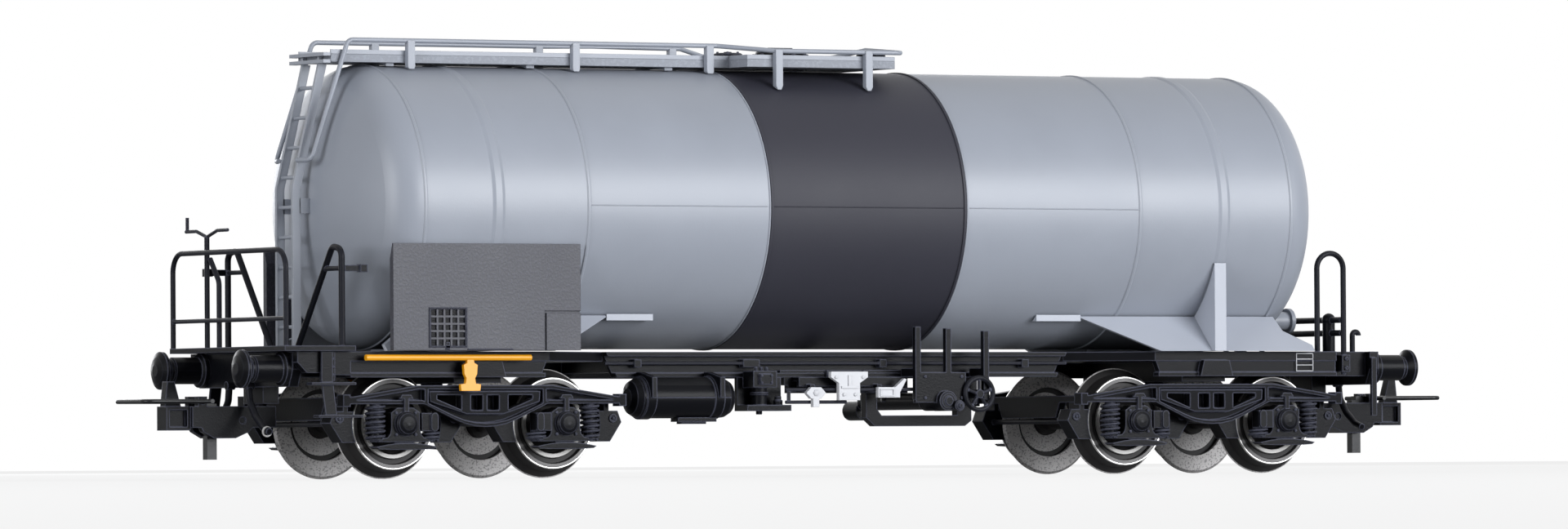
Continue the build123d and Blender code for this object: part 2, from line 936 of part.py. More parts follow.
def hand_brake():
    """The spindle and its two-armed crank, which stands on the platform."""
    x = -brake_x
    shape = bar((x, brake_y, platform_top), (x, brake_y, brake_top - crank_dip), spindle_radius)
    for side in (-1, 1):
        shape += rod(
            [
                (x, brake_y, brake_top - crank_dip),
                (x, brake_y + side * crank_reach / 2, brake_top),
                (x, brake_y + side * crank_reach, brake_top),
            ],
            crank_reach / 4,
            spindle_radius * 2 / 3,
        )
    grip = brake_y + crank_reach - spindle_radius
    return shape + bar((x, grip, brake_top), (x, grip, brake_top + crank_rise), spindle_radius * 2 / 3)


post_y = 4.2
post_kink = 22.4
post_upper_y = 6.7
post_upper = 25.0


def brake_post():
    """The bent post beside the spindle that holds its upper bearing."""
    x = -brake_x
    shape = rod(
        [
            (x, post_y, platform_top),
            (x, post_y, post_kink),
            (x, post_upper_y - spindle_radius, post_upper),
        ],
        crank_reach / 4,
        spindle_radius,
    )
    return shape


save("platform", platform())
save("platform_railing", railing())
save("hand_brake", hand_brake())
save("brake_post", brake_post())

# Grab handles at the inner corners of the platform, one each side of the ladder
grab_x = 67.2
grab_outer = 14.0
grab_inner = 3.3
grab_apex = 11.8
grab_top = 26.1
grab_bar = 23.6
grab_radius = 0.36
lamp_reach = 2.6
lamp_size = 0.9


def grab_handle():
    """The near grab handle: an upright leg, a sloping leg and a cross bar with a lamp bracket."""
    x = -grab_x
    shape = rod(
        [
            (x, -grab_outer, platform_top),
            (x, -grab_outer, grab_top - grab_radius),
            (x, -grab_apex, grab_top),
            (x, -grab_inner, platform_top),
        ],
        grab_radius * 3,
        grab_radius,
    )
    slope = (grab_apex - grab_inner) / (grab_top - platform_top)
    inner_y = grab_apex - (grab_top - grab_bar) * slope
    return shape + bar((x, -grab_outer, grab_bar), (x, -inner_y, grab_bar), grab_radius * 3 / 4)


def lamp_bracket(y, side):
    """A bracket from a handle's outer leg, with the square holder at its end."""
    x = -grab_x
    end = x + side * lamp_reach
    near, far = y - grab_radius / 2, y + grab_radius / 2
    arm = block(x, end, near, far, grab_bar - grab_radius, grab_bar + grab_radius)
    half = lamp_size / 2
    return arm + block(end - half, end + half, y - half, y + half, grab_bar - half, grab_bar + half)


handles = both_sides(grab_handle()) - platform()
handles += lamp_bracket(-grab_outer, 1) + lamp_bracket(grab_outer, -1)
save("grab_handles", handles)

# Ladder up the dished end, with a step at its top
ladder_half = 2.2
ladder_rail = 0.45
ladder_depth = 1.0
ladder_x = 67.2
ladder_kink = 32.8
ladder_top_x = 63.8
ladder_top = tank_axis + tank_radius
step_wide_half = 4.2
step_reach = 0.9
step_lips = ((0.05, 0.45), (0.85, 1.25))
rung_first = 17.2
rung_pitch = 3.38
rung_count = 9
rung_radius = 0.22


def ladder_line(z):
    """Place along X of the ladder's outer edge at a height."""
    slope = (ladder_x - ladder_top_x) / (ladder_top - ladder_kink)
    return -ladder_x + max(0, z - ladder_kink) * slope


def ladder():
    """Two deep rails bent to follow the tank's end, with round rungs."""
    outline = [
        (ladder_line(platform_top), platform_top),
        (ladder_line(ladder_kink), ladder_kink),
        (ladder_line(ladder_top), ladder_top),
        (ladder_line(ladder_top) + ladder_depth, ladder_top),
        (ladder_line(ladder_kink) + ladder_depth, ladder_kink),
        (ladder_line(platform_top) + ladder_depth, platform_top),
    ]
    shape = both_sides(side_plate(outline, -ladder_half, -ladder_half + ladder_rail))
    for number in range(rung_count):
        z = rung_first + number * rung_pitch
        x = ladder_line(z) + ladder_depth / 2
        reach = ladder_half - ladder_rail / 2
        shape += bar((x, -reach, z), (x, reach, z), rung_radius)
    back = -ladder_top_x + ladder_rail
    for low, high in step_lips:
        shape += block(
            back - step_reach, back, -step_wide_half, step_wide_half, ladder_top + low, ladder_top + high
        )
    for y in (-ladder_half, ladder_half - ladder_rail):
        shape += block(
            back - ladder_rail,
            back,
            y,
            y + ladder_rail,
            ladder_top - ladder_rail,
            ladder_top + step_lips[-1][0],
        )
    return shape


save("ladder", ladder())

# Roof walkway and the wider platform round the manhole
walk_half = 4.0
walk_gap = 0.06
walk_thick = 0.9
walk_low = tank_axis + tank_radius + bead_height + walk_gap
walk_top = walk_low + walk_thick
walk_from = 63.2
deck_from = -11.5
deck_to = 8.2
deck_half = 8.2
walk_bearer = 0.5
lid_x = -2.4
lid_radius = 3.2


def walkway():
    """The walkway from the ladder to the manhole platform, on short bearers."""
    shape = block(-walk_from, deck_from, -walk_half, walk_half, walk_low, walk_top)
    stations_share = (0.15, 0.5, 0.85)
    length = walk_from + deck_from
    for share in stations_share:
        x = -walk_from + share * length
        leg = block(x - walk_bearer, x + walk_bearer, -walk_half + walk_bearer, walk_half - walk_bearer,
                    tank_axis, walk_low)
        shape += leg - tank_bore
    return shape


def roof_deck():
    """The manhole platform, with a round opening for the manhole."""
    shape = block(deck_from, deck_to, -deck_half, deck_half, walk_low, walk_top)
    shape -= bar((lid_x, 0, walk_low), (lid_x, 0, walk_top), lid_radius)
    return shape


save("walkway", walkway())
save("roof_deck", roof_deck())

# Manhole cover and two valve covers
cover_radius = 3.35
cover_height = 0.55
cover_dome = 0.65
neck_radius = 2.9
valve_radius = 1.8
valve_places_share = ((0.13, 0.1), (0.9, -0.74))


def manhole():
    """The manhole's neck on the barrel and its clamped cover."""
    rim_top = walk_top + cover_height
    neck = bar((lid_x, 0, tank_axis), (lid_x, 0, rim_top), neck_radius) - tank_bore
    rim = bar((lid_x, 0, walk_top), (lid_x, 0, rim_top), cover_radius)
    return neck + rim + bar((lid_x, 0, rim_top), (lid_x, 0, rim_top + cover_dome), neck_radius)


def valve_covers():
    shape = None
    for along, across in valve_places_share:
        x = deck_from + along * (deck_to - deck_from)
        y = across * deck_half
        piece = bar((x, y, walk_top), (x, y, walk_top + cover_height), valve_radius)
        shape = piece if shape is None else shape + piece
    return shape


save("manhole", manhole())
save("valve_covers", valve_covers())

# Handrails along the walkway and round the platform
hand_half = 4.35
hand_rise = 1.6
hand_dip = 0.65
hand_top = walk_top + hand_rise
hand_low = hand_top - hand_dip
hand_radius = 0.27
loop_foot = 36.0
loop_from = 66.9
hand_bend = 0.9
post_half = 0.45
post_deep = 0.75
post_drop = 1.8
deck_post_drop = 4.6
walk_post_places = (-53.3, -32.0, -14.4)
deck_post_places = (-7.65, 4.35)


def hand_post(x, inner_y, top, drop):
    """An upright outside the walkway's edge, pointed at its foot, down to the barrel."""
    low = top - drop
    outline = [
        (x - post_half, top),
        (x + post_half, top),
        (x + post_half, low + post_half),
        (x + post_half / 2, low),
        (x - post_half / 2, low),
        (x - post_half, low + post_half),
    ]
    return side_plate(outline, -inner_y - post_deep, -inner_y) - tank_bore


def handrail():
    """The near handrail with its posts, from the loop beside the ladder to the end of the platform."""
    rail_y = deck_half + post_deep / 2
    shape = rod(
        [
            (-ladder_x + ladder_depth / 2, -ladder_half, loop_foot),
            (-loop_from + ladder_depth, -hand_half, loop_foot),
            (-walk_from + walk_half / 2, -hand_half, hand_top),
            (deck_from - hand_bend * 2, -hand_half, hand_top),
            (deck_from + hand_bend * 4, -rail_y, hand_low),
            (deck_to + hand_bend, -rail_y, hand_low),
            (deck_to + hand_bend, 0, hand_top),
        ],
        hand_bend,
        hand_radius,
    )
    for x in walk_post_places:
        shape += hand_post(x, walk_half, hand_top, hand_rise + post_drop)
    for x in deck_post_places:
        shape += hand_post(x, deck_half, hand_low + hand_radius / 2, deck_post_drop)
    return shape


save("handrails", both_sides(handrail()))

# Fittings at the +X end: a tall grab hoop each side, a cross pipe with its riser, and a drain stub
hoop_inner_x = 63.2
hoop_outer_x = 66.9
hoop_y = 12.9
hoop_top = 25.9
hoop_radius = 0.33
hoop_foot = 11.6
clamp_half = 0.55
clamp_low = 11.9
clamp_top = 13.9
hook_rod_x = 70.1
hook_rod_y = 9.9
hook_rod_top = 16.65
hook_rod_reach = 0.85
hook_rod_drop = 0.42
hook_rod_radius = 0.32
pipe_upper = 18.05
pipe_lower = 16.5
pipe_radius = 0.36
riser_y = 9.7
riser_radius = 0.75
stub_y = 5.0
stub_height = 18.0
stub_radius = 1.1
stub_gap = 1.4
stub_length = 5.4
stub_from = barrel_half + stub_gap
stub_to = stub_from + stub_length
stub_flange = 1.5
stub_flange_thick = 0.5


def grab_hoop():
    """The near hoop: an inverted U whose outer leg runs down past the sole bar's end."""
    arc = (hoop_outer_x - hoop_inner_x) / 2
    return rod(
        [
            (hoop_inner_x, -hoop_y, sole_top),
            (hoop_inner_x, -hoop_y, hoop_top),
            (hoop_outer_x, -hoop_y, hoop_top),
            (hoop_outer_x, -hoop_y, hoop_foot),
        ],
        arc * 0.98,
        hoop_radius,
    ) + block(
        hoop_outer_x - clamp_half, hoop_outer_x + clamp_half, -hoop_y - clamp_half, -recess_half,
        clamp_low, clamp_top,
    )


def end_pipes():
    """Two cross pipes between the hoops, on an upright riser near each side."""
    shape = None
    for height in (pipe_upper, pipe_lower):
        pipe = bar(
            (hoop_outer_x, -hoop_y + hoop_radius, height),
            (hoop_outer_x, hoop_y - hoop_radius, height),
            pipe_radius,
        )
        shape = pipe if shape is None else shape + pipe
    riser = bar((hoop_outer_x, -riser_y, sole_top), (hoop_outer_x, -riser_y, pipe_upper), riser_radius)
    riser += Pos(hoop_outer_x, -riser_y, pipe_upper) * Sphere(riser_radius * 1.1)
    hook = rod(
        [
            (hook_rod_x, -hook_rod_y, sole_top),
            (hook_rod_x, -hook_rod_y, hook_rod_top),
            (hook_rod_x + hook_rod_reach, -hook_rod_y, hook_rod_top),
            (hook_rod_x + hook_rod_reach, -hook_rod_y, hook_rod_top - hook_rod_drop),
        ],
        hook_rod_radius * 5 / 4,
        hook_rod_radius,
    )
    return shape + both_sides(riser + hook)


def drain_stub():
    """The flanged pipe from the foot of the +X dished end."""
    stub = bar((stub_from, -stub_y, stub_height), (stub_to, -stub_y, stub_height), stub_radius)
    stub += bar(
        (stub_to - stub_flange_thick, -stub_y, stub_height), (stub_to, -stub_y, stub_height), stub_flange
    )
    return stub - plain_tank


save("grab_hoops", both_sides(grab_hoop()))
save("end_pipes", end_pipes())
save("drain_stub", drain_stub())

# Side boards, each a flat sign plate held on the rib of the -X saddle
sign_x0 = -61.7
sign_x1 = -37.8
sign_z0 = 14.4
sign_z1 = 26.4
sign_thick = 0.8
grid_x0 = -57.0
grid_x1 = -52.6
grid_z0 = 14.9
grid_z1 = 19.0
grid_lines = 5
grid_wire = 0.25
flap_x0 = -42.2
flap_z1 = 18.6
relief = 0.2


def sign_plate():
    """The near side board with a raised grid panel and a square flap, both blank."""
    face = -rib_half - sign_thick
    board = block(sign_x0, sign_x1, face, -rib_half, sign_z0, sign_z1)
    board -= block(grid_x0, grid_x1, face, face + relief, grid_z0, grid_z1)
    for number in range(1, grid_lines):
        share = number / grid_lines
        x = grid_x0 + share * (grid_x1 - grid_x0)
        z = grid_z0 + share * (grid_z1 - grid_z0)
        board += block(x - grid_wire / 2, x + grid_wire / 2, face, face + relief, grid_z0, grid_z1)
        board += block(grid_x0, grid_x1, face, face + relief, z - grid_wire / 2, z + grid_wire / 2)
    frame = block(flap_x0 - grid_wire, flap_x0, face, face + relief, sign_z0, flap_z1)
    frame += block(flap_x0 - grid_wire, sign_x1, face, face + relief, flap_z1, flap_z1 + grid_wire)
    return board - frame - tank_bore


save("sign_plates", both_sides(sign_plate()))

# Brake change-over lever on each side: a long bar with an hourglass handle
lever_bar_x0 = -64.4
lever_bar_x1 = -43.4
lever_bar_y = 14.3
lever_bar_z = 13.6
lever_bar_radius = 0.35
handle_x = -51.2
handle_half = 1.3
handle_low = 9.85
handle_thick = 0.5
bracket_half = 0.6
handle_shares = (
    (-0.3, 1), (0.3, 1), (0.35, 0.84), (0.68, 0.78), (0.62, 0.5), (0.42, 0.38), (0.5, 0.22), (1, 0.2),
    (0.92, 0), (-0.92, 0), (-1, 0.2), (-0.5, 0.22), (-0.42, 0.38), (-0.62, 0.5), (-0.68, 0.78), (-0.35, 0.84),
)


def brake_lever():
    """The near lever bar and its handle, with two brackets to the sole bar."""
    y = -lever_bar_y
    shape = bar((lever_bar_x0, y, lever_bar_z), (lever_bar_x1, y, lever_bar_z), lever_bar_radius)
    rise = lever_bar_z - handle_low
    outline = [(handle_x + across * handle_half, handle_low + up * rise) for across, up in handle_shares]
    shape += side_plate(outline, y - handle_thick / 2, y + handle_thick / 2)
    for share in (0.2, 0.85):
        x = lever_bar_x0 + share * (lever_bar_x1 - lever_bar_x0)
        shape += block(
            x - bracket_half, x + bracket_half, y, -sole_half, lever_bar_z - lever_bar_radius / 2,
            lever_bar_z + lever_bar_radius / 2,
        )
    return shape


save("brake_levers", both_sides(brake_lever()))

# Air reservoir under the near girder
tank_y = 10.0
reservoir_x0 = -28.6
reservoir_x1 = -15.1
reservoir_z = 9.05
reservoir_radius = 2.35
strap_places = (-26.6, -17.7)
strap_half = 0.6
strap_lift = 0.12
reservoir_shares = ((0, 0), (0, 0.45), (0.03, 0.8), (0.08, 0.96), (0.14, 1))


def reservoir():
    """The reservoir with domed ends, hung from the girder by two strapped brackets."""
    length = reservoir_x1 - reservoir_x0
    near = [(share * length, out * reservoir_radius) for share, out in reservoir_shares]
    far = [(length - along, out) for along, out in reversed(near)]
    shape = turned(near + far, (reservoir_x0, -tank_y, reservoir_z), (1, 0, 0))
    for x in strap_places:
        shape += bar(
            (x - strap_half, -tank_y, reservoir_z),
            (x + strap_half, -tank_y, reservoir_z),
            reservoir_radius + strap_lift,
        )
        front = tank_y + reservoir_radius + strap_half
        shape += cross_plate(
            [
                (-front, reservoir_z),
                (-front, sole_bottom),
                (-tank_y, sole_bottom + strap_half),
                (-girder_half - girder_flange, sole_bottom + strap_half),
                (-girder_half - girder_flange, sole_bottom),
                (-tank_y + reservoir_radius / 2, reservoir_z),
            ],
            x - strap_half / 2,
            x + strap_half / 2,
        )
    return shape


save("air_reservoir", reservoir())

# Brake distributor beside the reservoir, and the pipe clamp above it
valve_x0 = -12.9
valve_x1 = -9.8
valve_lid = 0.35
valve_lid_half = 0.8
valve_y0 = 9.2
valve_y1 = 11.6
valve_z0 = 10.2
valve_z1 = 12.1
valve_cup_x = -11.5
valve_cup_radius = 0.9
valve_foot = 7.8
shelf_x0 = -13.7
shelf_x1 = -7.9
shelf_z0 = 7.5
shelf_z1 = 8.2


def distributor():
    shape = block(valve_x0, valve_x1, -valve_y1, -valve_y0, valve_z0, valve_z1)
    shape += bar(
        (valve_cup_x, -(valve_y0 + valve_y1) / 2, valve_foot),
        (valve_cup_x, -(valve_y0 + valve_y1) / 2, valve_z0),
        valve_cup_radius,
    )
    shape += block(
        (valve_x0 + valve_x1) / 2 - valve_lid_half, (valve_x0 + valve_x1) / 2 + valve_lid_half,
        -valve_y1 - valve_lid, -valve_y1, valve_z0 + valve_lid, valve_z1 - valve_lid,
    )
    shape += block(shelf_x0, shelf_x1, -valve_y0, -valve_y0 + web_thick, shelf_z0, sole_bottom)
    shape += block(shelf_x0, shelf_x1, -valve_y1, -valve_y0, shelf_z0, shelf_z1)
    return shape


save("brake_distributor", distributor())

# Discharge gear: a plate with three uprights, an outlet, a handwheel and a guard bow
beam_x0 = -6.3
beam_x1 = 8.2
beam_y0 = 10.6
beam_low = 10.3
beam_thick = 0.5
gear_y = 12.4
gear_thick = 0.7
upright_places = (8.6, 12.7, 17.8)
upright_tops = (17.2, 17.0, 16.7)
upright_half = 0.35
plate_x0 = 8.3
plate_x1 = 15.0
plate_low = 8.4
plate_top = 11.9
wheel_x = 16.6
wheel_z = 9.4
wheel_outer = 2.15
wheel_rim = 0.3
wheel_hub = 0.5
spoke_count = 5
spoke_radius = 0.2
outlet_x = 12.2
outlet_z = 8.6
outlet_radius = 1.15
cross_pipe_radius = 1.0
cross_pipe_to = 6.0
cross_pipe_cap = 3.2
cross_pipe_drop = 1.0
tap_x = 13.4
tap_z = 8.05
tap_radius = 0.62
tap_reach = 0.6
bow_y = 8.2
bow_half = 0.6
bow_points_shares = (
    (0.04, 2.28), (0.04, 0.4), (0.12, 0), (0.94, 0), (1, 0.25), (1, 1), (0.87, 1), (0.87, 0.5),
    (0.18, 0.5), (0.14, 0.8), (0.14, 2.28),
)
bow_x0 = 3.1
bow_x1 = 17.9
bow_z0 = 5.7
bow_z1 = 8.2


def discharge_plate():
    shape = block(plate_x0, plate_x1, -gear_y, -gear_y + gear_thick, plate_low, plate_top)
    for x, top in zip(upright_places, upright_tops):
        shape += block(
            x - upright_half, x + upright_half, -gear_y, -gear_y + gear_thick, plate_low + upright_half, top
        )
    for x in (upright_places[0], upright_places[-1]):
        shape += block(
            x - upright_half, x + upright_half, -gear_y + gear_thick / 2, -girder_half - girder_flange,
            sole_bottom, sole_bottom + flange_thick * 2,
        )
    shape += bar(
        (outlet_x, -gear_y - gear_thick, outlet_z), (outlet_x, -bow_y, outlet_z), outlet_radius
    )
    shape += bar((tap_x, -gear_y - gear_thick - tap_reach, tap_z), (tap_x, -bow_y, tap_z), tap_radius)
    shape += bar((outlet_x, -bow_y, outlet_z), (outlet_x, cross_pipe_to, outlet_z), cross_pipe_radius)
    shape += bar(
        (outlet_x, cross_pipe_to, outlet_z - cross_pipe_drop),
        (outlet_x, cross_pipe_to + cross_pipe_cap, outlet_z - cross_pipe_drop),
        outlet_radius,
    )
    shape += bar((outlet_x, 0, outlet_z), (outlet_x, 0, member_bottom), outlet_radius)
    return shape + block(
        plate_x1 - gear_thick, bow_x1, -beam_y0 + beam_thick, -girder_half - beam_thick, bow_z1, sole_bottom
    )


def handwheel():
    """The near handwheel on its short shaft."""
    y = -gear_y - wheel_rim
    rim = Pos(wheel_x, y, wheel_z) * Rot(90, 0, 0) * Torus(wheel_outer - wheel_rim, wheel_rim)
    hub = bar((wheel_x, y - wheel_rim, wheel_z), (wheel_x, -bow_y, wheel_z), wheel_hub)
    shape = rim + hub
    for number in range(spoke_count):
        turn = 2 * pi * number / spoke_count
        reach = wheel_outer - wheel_rim
        shape += bar(
            (wheel_x, y, wheel_z),
            (wheel_x + reach * sin(turn), y, wheel_z + reach * cos(turn)),
            spoke_radius,
        )
    return shape


def guard_bow():
    width = bow_x1 - bow_x0
    height = bow_z1 - bow_z0
    outline = [(bow_x0 + along * width, bow_z0 + up * height) for along, up in bow_points_shares]
    return side_plate(outline, -bow_y - bow_half, -bow_y + bow_half)


save("discharge_plate", discharge_plate() - handwheel())
save("handwheel", handwheel())
save("guard_bow", guard_bow())

# White controls: a hexagonal knob, a T-shaped plate and a square box with its lever
control_y = 12.0
control_thick = 0.6
knob_x = -5.0
knob_z = 9.55
knob_half = 1.3
knob_rise = 0.65
tee_x = -0.55
tee_half = 2.45
tee_foot_half = 1.4
tee_top = 12.0
tee_bottom = 8.7
box_x0 = 3.3
box_x1 = 6.2
box_z0 = 9.0
box_z1 = 10.2
rod_height = 9.95
rod_lower = 8.5
rod_radius = 0.2
rod_x0 = -8.6


def controls():
    """The near white controls on their cross rod."""
    front = -control_y - control_thick / 2
    back = -control_y + control_thick / 2
    knob = [
        (knob_x - knob_half, knob_z),
        (knob_x - knob_half / 2, knob_z + knob_rise),
        (knob_x + knob_half / 2, knob_z + knob_rise),
        (knob_x + knob_half, knob_z),
        (knob_x + knob_half / 2, knob_z - knob_rise),
        (knob_x - knob_half / 2, knob_z - knob_rise),
    ]
    shape = side_plate(knob, front, back)
    waist = (tee_top - tee_bottom) * 2 / 5
    tee = [
        (tee_x - tee_half, tee_top),
        (tee_x + tee_half, tee_top),
        (tee_x + tee_half, tee_top - waist / 2),
        (tee_x + tee_foot_half, tee_top - waist),
        (tee_x + tee_foot_half, tee_bottom),
        (tee_x - tee_foot_half, tee_bottom),
        (tee_x - tee_foot_half, tee_top - waist),
        (tee_x - tee_half, tee_top - waist / 2),
    ]
    shape += side_plate(tee, front, back)
    box = [
        (box_x0, box_z1),
        (box_x1 - control_thick, box_z1),
        (box_x1 + control_thick, box_z1 + control_thick * 5 / 3),
        (box_x1 + control_thick * 3 / 2, box_z1 + control_thick * 3 / 2),
        (box_x1, box_z1 - control_thick),
        (box_x1, box_z0),
        (box_x0, box_z0),
    ]
    stem = block(
        knob_x - rod_radius * 2, knob_x + rod_radius * 2, front, back, knob_z - knob_half * 5 / 4, knob_z
    )
    return shape + side_plate(box, front, back) + stem


def control_rods():
    """The near cross rods behind the white controls, and the beam that carries them."""
    y = -control_y + control_thick / 2 + rod_radius
    shape = bar((rod_x0, y, rod_height), (plate_x0 + gear_thick, y, rod_height), rod_radius)
    shape += bar((rod_x0, y, rod_lower), (tee_x, y, rod_lower), rod_radius)
    shape += block(
        beam_x0, bow_x0, -beam_y0, -girder_half, sole_bottom - beam_thick, sole_bottom
    )
    shape += block(beam_x0, beam_x1, -beam_y0, -beam_y0 + beam_thick, beam_low, sole_bottom)
    for x in (knob_x, tee_x, box_x0 + control_thick):
        shape += block(
            x - rod_radius * 3 / 2, x + rod_radius * 3 / 2, y, -beam_y0 + beam_thick / 2,
            rod_height, beam_low + beam_thick / 2,
        )
    for x in (rod_x0 + rod_radius * 2, tee_x - rod_radius * 2):
        shape += block(
            x - rod_radius, x + rod_radius, y - rod_radius / 2, y + rod_radius / 2, rod_lower, rod_height
        )
    return shape


save("white_controls", controls())
save("control_rods", control_rods())

# Foot steps at the corners of the platform end: outer edge and height of each tread
step_x0 = -71.1
step_x1 = -65.6
step_treads = ((15.9, 6.9), (14.3, 10.55))
step_wide = 1.4
step_thick = 0.3
step_strap_x = -69.65
step_strap_wide = 1.4


def foot_steps():
    """The near pair of treads on one leaning strap, hung from the side panel."""
    shape = None
    for outer, height in step_treads:
        tread = block(step_x0, step_x1, -outer, -outer + step_wide, height, height + step_thick)
        shape = tread if shape is None else shape + tread
    (low_outer, low_height), (high_outer, high_height) = step_treads
    shape += cross_plate(
        [
            (-low_outer + step_wide, low_height),
            (-low_outer + step_wide - step_thick, low_height),
            (-high_outer + step_wide / 2 - step_thick, high_height),
            (-high_outer + step_wide / 2, high_height),
        ],
        step_strap_x,
        step_strap_x + step_strap_wide,
    )
    face = -sole_half - flange_thick / 2
    return shape + block(
        step_strap_x, step_strap_x + step_strap_wide, face - step_thick, face, high_height, sole_top
    )


save("foot_steps", both_sides(foot_steps()))

# Brake hoses on the headstocks, stiff mouldings that hang clear of the coupler
hose_radius = 0.4
hose_x = 73.0
hose_points_shares = ((0.2, 0.75), (0.22, 0.5), (0.34, 0.25), (0.5, 0.06), (0.62, 0))
hose_low = 5.4
hose_bend = 1.0


def hoses():
    """Two brake hoses on the +X headstock."""
    path = [
        (hose_x, -across * headstock_half, hose_low + up * (buffer_height - hose_low))
        for across, up in hose_points_shares
    ]
    start = (headstock_x, path[0][1], path[0][2])
    hose = rod(path, hose_bend, hose_radius)
    stub = bar(start, (hose_x + hose_radius, path[0][1], path[0][2]), hose_radius * 6 / 5)
    return both_sides(hose + stub)


save("brake_hoses_plain_end", hoses())
save("brake_hoses_brake_end", far_end(hoses()))
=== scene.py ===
# %% [markdown]
# This lesson dresses a model railway tank car. The car's solids come in as a fixed frame, in metres,
# with the floor under its wheels at height 0. Blender adds the finishes, the small fittings, the
# floor, the lamps and the camera. Nothing here moves or reshapes a solid of the frame, so whatever
# is added has to sit on it. Places are written in millimetres, as a model maker measures them, and
# the factor MM turns them into metres.

# %% Load the frame
import json
import math

import bmesh
import bpy
from mathutils import Matrix, Vector


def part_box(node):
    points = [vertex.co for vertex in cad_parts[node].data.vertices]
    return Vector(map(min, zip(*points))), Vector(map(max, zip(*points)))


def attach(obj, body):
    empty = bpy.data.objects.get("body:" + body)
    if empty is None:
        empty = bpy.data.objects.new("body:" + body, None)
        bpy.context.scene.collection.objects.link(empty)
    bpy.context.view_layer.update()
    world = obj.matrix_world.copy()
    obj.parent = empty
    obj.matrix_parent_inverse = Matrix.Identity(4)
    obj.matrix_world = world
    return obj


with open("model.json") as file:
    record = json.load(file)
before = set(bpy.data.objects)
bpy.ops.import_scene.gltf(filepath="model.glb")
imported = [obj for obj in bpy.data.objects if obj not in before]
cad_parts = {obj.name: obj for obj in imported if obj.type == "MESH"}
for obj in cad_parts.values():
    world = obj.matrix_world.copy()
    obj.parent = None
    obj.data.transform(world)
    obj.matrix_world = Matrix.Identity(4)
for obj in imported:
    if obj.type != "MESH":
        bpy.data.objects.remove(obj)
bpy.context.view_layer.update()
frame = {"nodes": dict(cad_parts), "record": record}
MM = 0.001
nodes = frame["nodes"]

# %% [markdown]
# The photograph is taken from far away with a long lens, from just above the floor, about thirty
# degrees round from the side. The camera could be placed by eye and aimed with a Track To
# constraint. Here its turn, rise, roll and distance are numbers found from points of the car, so
# the render and the photograph can be laid on each other. A Blender camera looks along its own -Z,
# so its matrix is built from the three directions right, up and back.

# %% Camera
picture_width = 1920
focal_pixels = 12426
sensor_width = 36
nearest_seen = 0.05
camera_turn = math.radians(30.0666)
camera_rise = math.radians(-1.12)
camera_roll = math.radians(-0.364)
camera_distance = 1.17734
camera_target = Vector((-2.05, 0, 24.56)) * MM


def camera_matrix():
    """Place and turn of the camera from its turn, rise, roll and distance."""
    back = Vector(
        (
            -math.sin(camera_turn) * math.cos(camera_rise),
            -math.cos(camera_turn) * math.cos(camera_rise),
            math.sin(camera_rise),
        )
    )
    right = Vector((0, 0, 1)).cross(back).normalized()
    up = back.cross(right)
    tilted_right = right * math.cos(camera_roll) + up * math.sin(camera_roll)
    tilted_up = up * math.cos(camera_roll) - right * math.sin(camera_roll)
    turn = Matrix((tilted_right, tilted_up, back)).transposed().to_4x4()
    return Matrix.Translation(camera_target + back * camera_distance) @ turn


lens = bpy.data.cameras.new("camera")
lens.sensor_width = sensor_width
lens.lens = focal_pixels / picture_width * sensor_width
lens.clip_start = nearest_seen
camera = bpy.data.objects.new("camera", lens)
bpy.context.collection.objects.link(camera)
camera.matrix_world = camera_matrix()
bpy.context.scene.camera = camera
bpy.context.scene.view_settings.view_transform = "Standard"
camera_height = camera.matrix_world.translation.z / MM
print("lens", round(lens.lens, 1), "mm, camera height", round(camera_height, 2), "mm")

# %% [markdown]
# A shader is a graph of nodes, and its maths could be wired node by node. It reads best as sums,
# though, so this class wraps one output of a node, and each Python operator on it adds a Math node.
# Numbers alone never reach it, so 2 * 3 stays plain Python.

# %% A socket that takes part in sums


class Value:
    """An output socket of a node graph, with Python's operators."""

    def __init__(self, graph, socket):
        self.graph = graph
        self.socket = socket

    def maths(self, operation, *others):
        """A Math node of this kind on the value and the others."""
        sockets = dict(enumerate((self,) + others))
        return self.graph.node("Math", {"operation": operation}, sockets)

    def __add__(self, other):
        return self.maths("ADD", other)

    def __sub__(self, other):
        return self.maths("SUBTRACT", other)

    def __rsub__(self, other):
        return (self * -1) + other

    def __mul__(self, other):
        return self.maths("MULTIPLY", other)

    def __truediv__(self, other):
        return self.maths("DIVIDE", other)

    def __pow__(self, other):
        return self.maths("POWER", other)

    def __gt__(self, other):
        return self.maths("GREATER_THAN", other)

    def __lt__(self, other):
        return self.maths("LESS_THAN", other)

    def __abs__(self):
        return self.maths("ABSOLUTE")


# %% [markdown]
# Materials and the world both hold a node graph. It could be drawn by hand in the shader editor,
# but a script can be read, changed and run again. Every node comes from one method, which sets the
# node's own settings first and then fills its sockets with numbers, colours or the outputs of other
# nodes. A finish is the graph of one material, and it knows its main shader.

# %% A graph with one way to add nodes


class Graph:
    """A tree of nodes under construction."""

    def __init__(self, tree):
        self.tree = tree

    def node(self, kind, settings, sockets, take=0):
        """Add a node and give one of its outputs."""
        made = self.tree.nodes.new("ShaderNode" + kind)
        for name, setting in settings.items():
            setattr(made, name, setting)
        for name, value in sockets.items():
            self.fill(made.inputs[name], value)
        return Value(self, made.outputs[take])

    def fill(self, socket, value):
        """Link a socket to a value of the graph, or write a constant in it."""
        if isinstance(value, Value):
            self.tree.links.new(value.socket, socket)
        else:
            socket.default_value = value


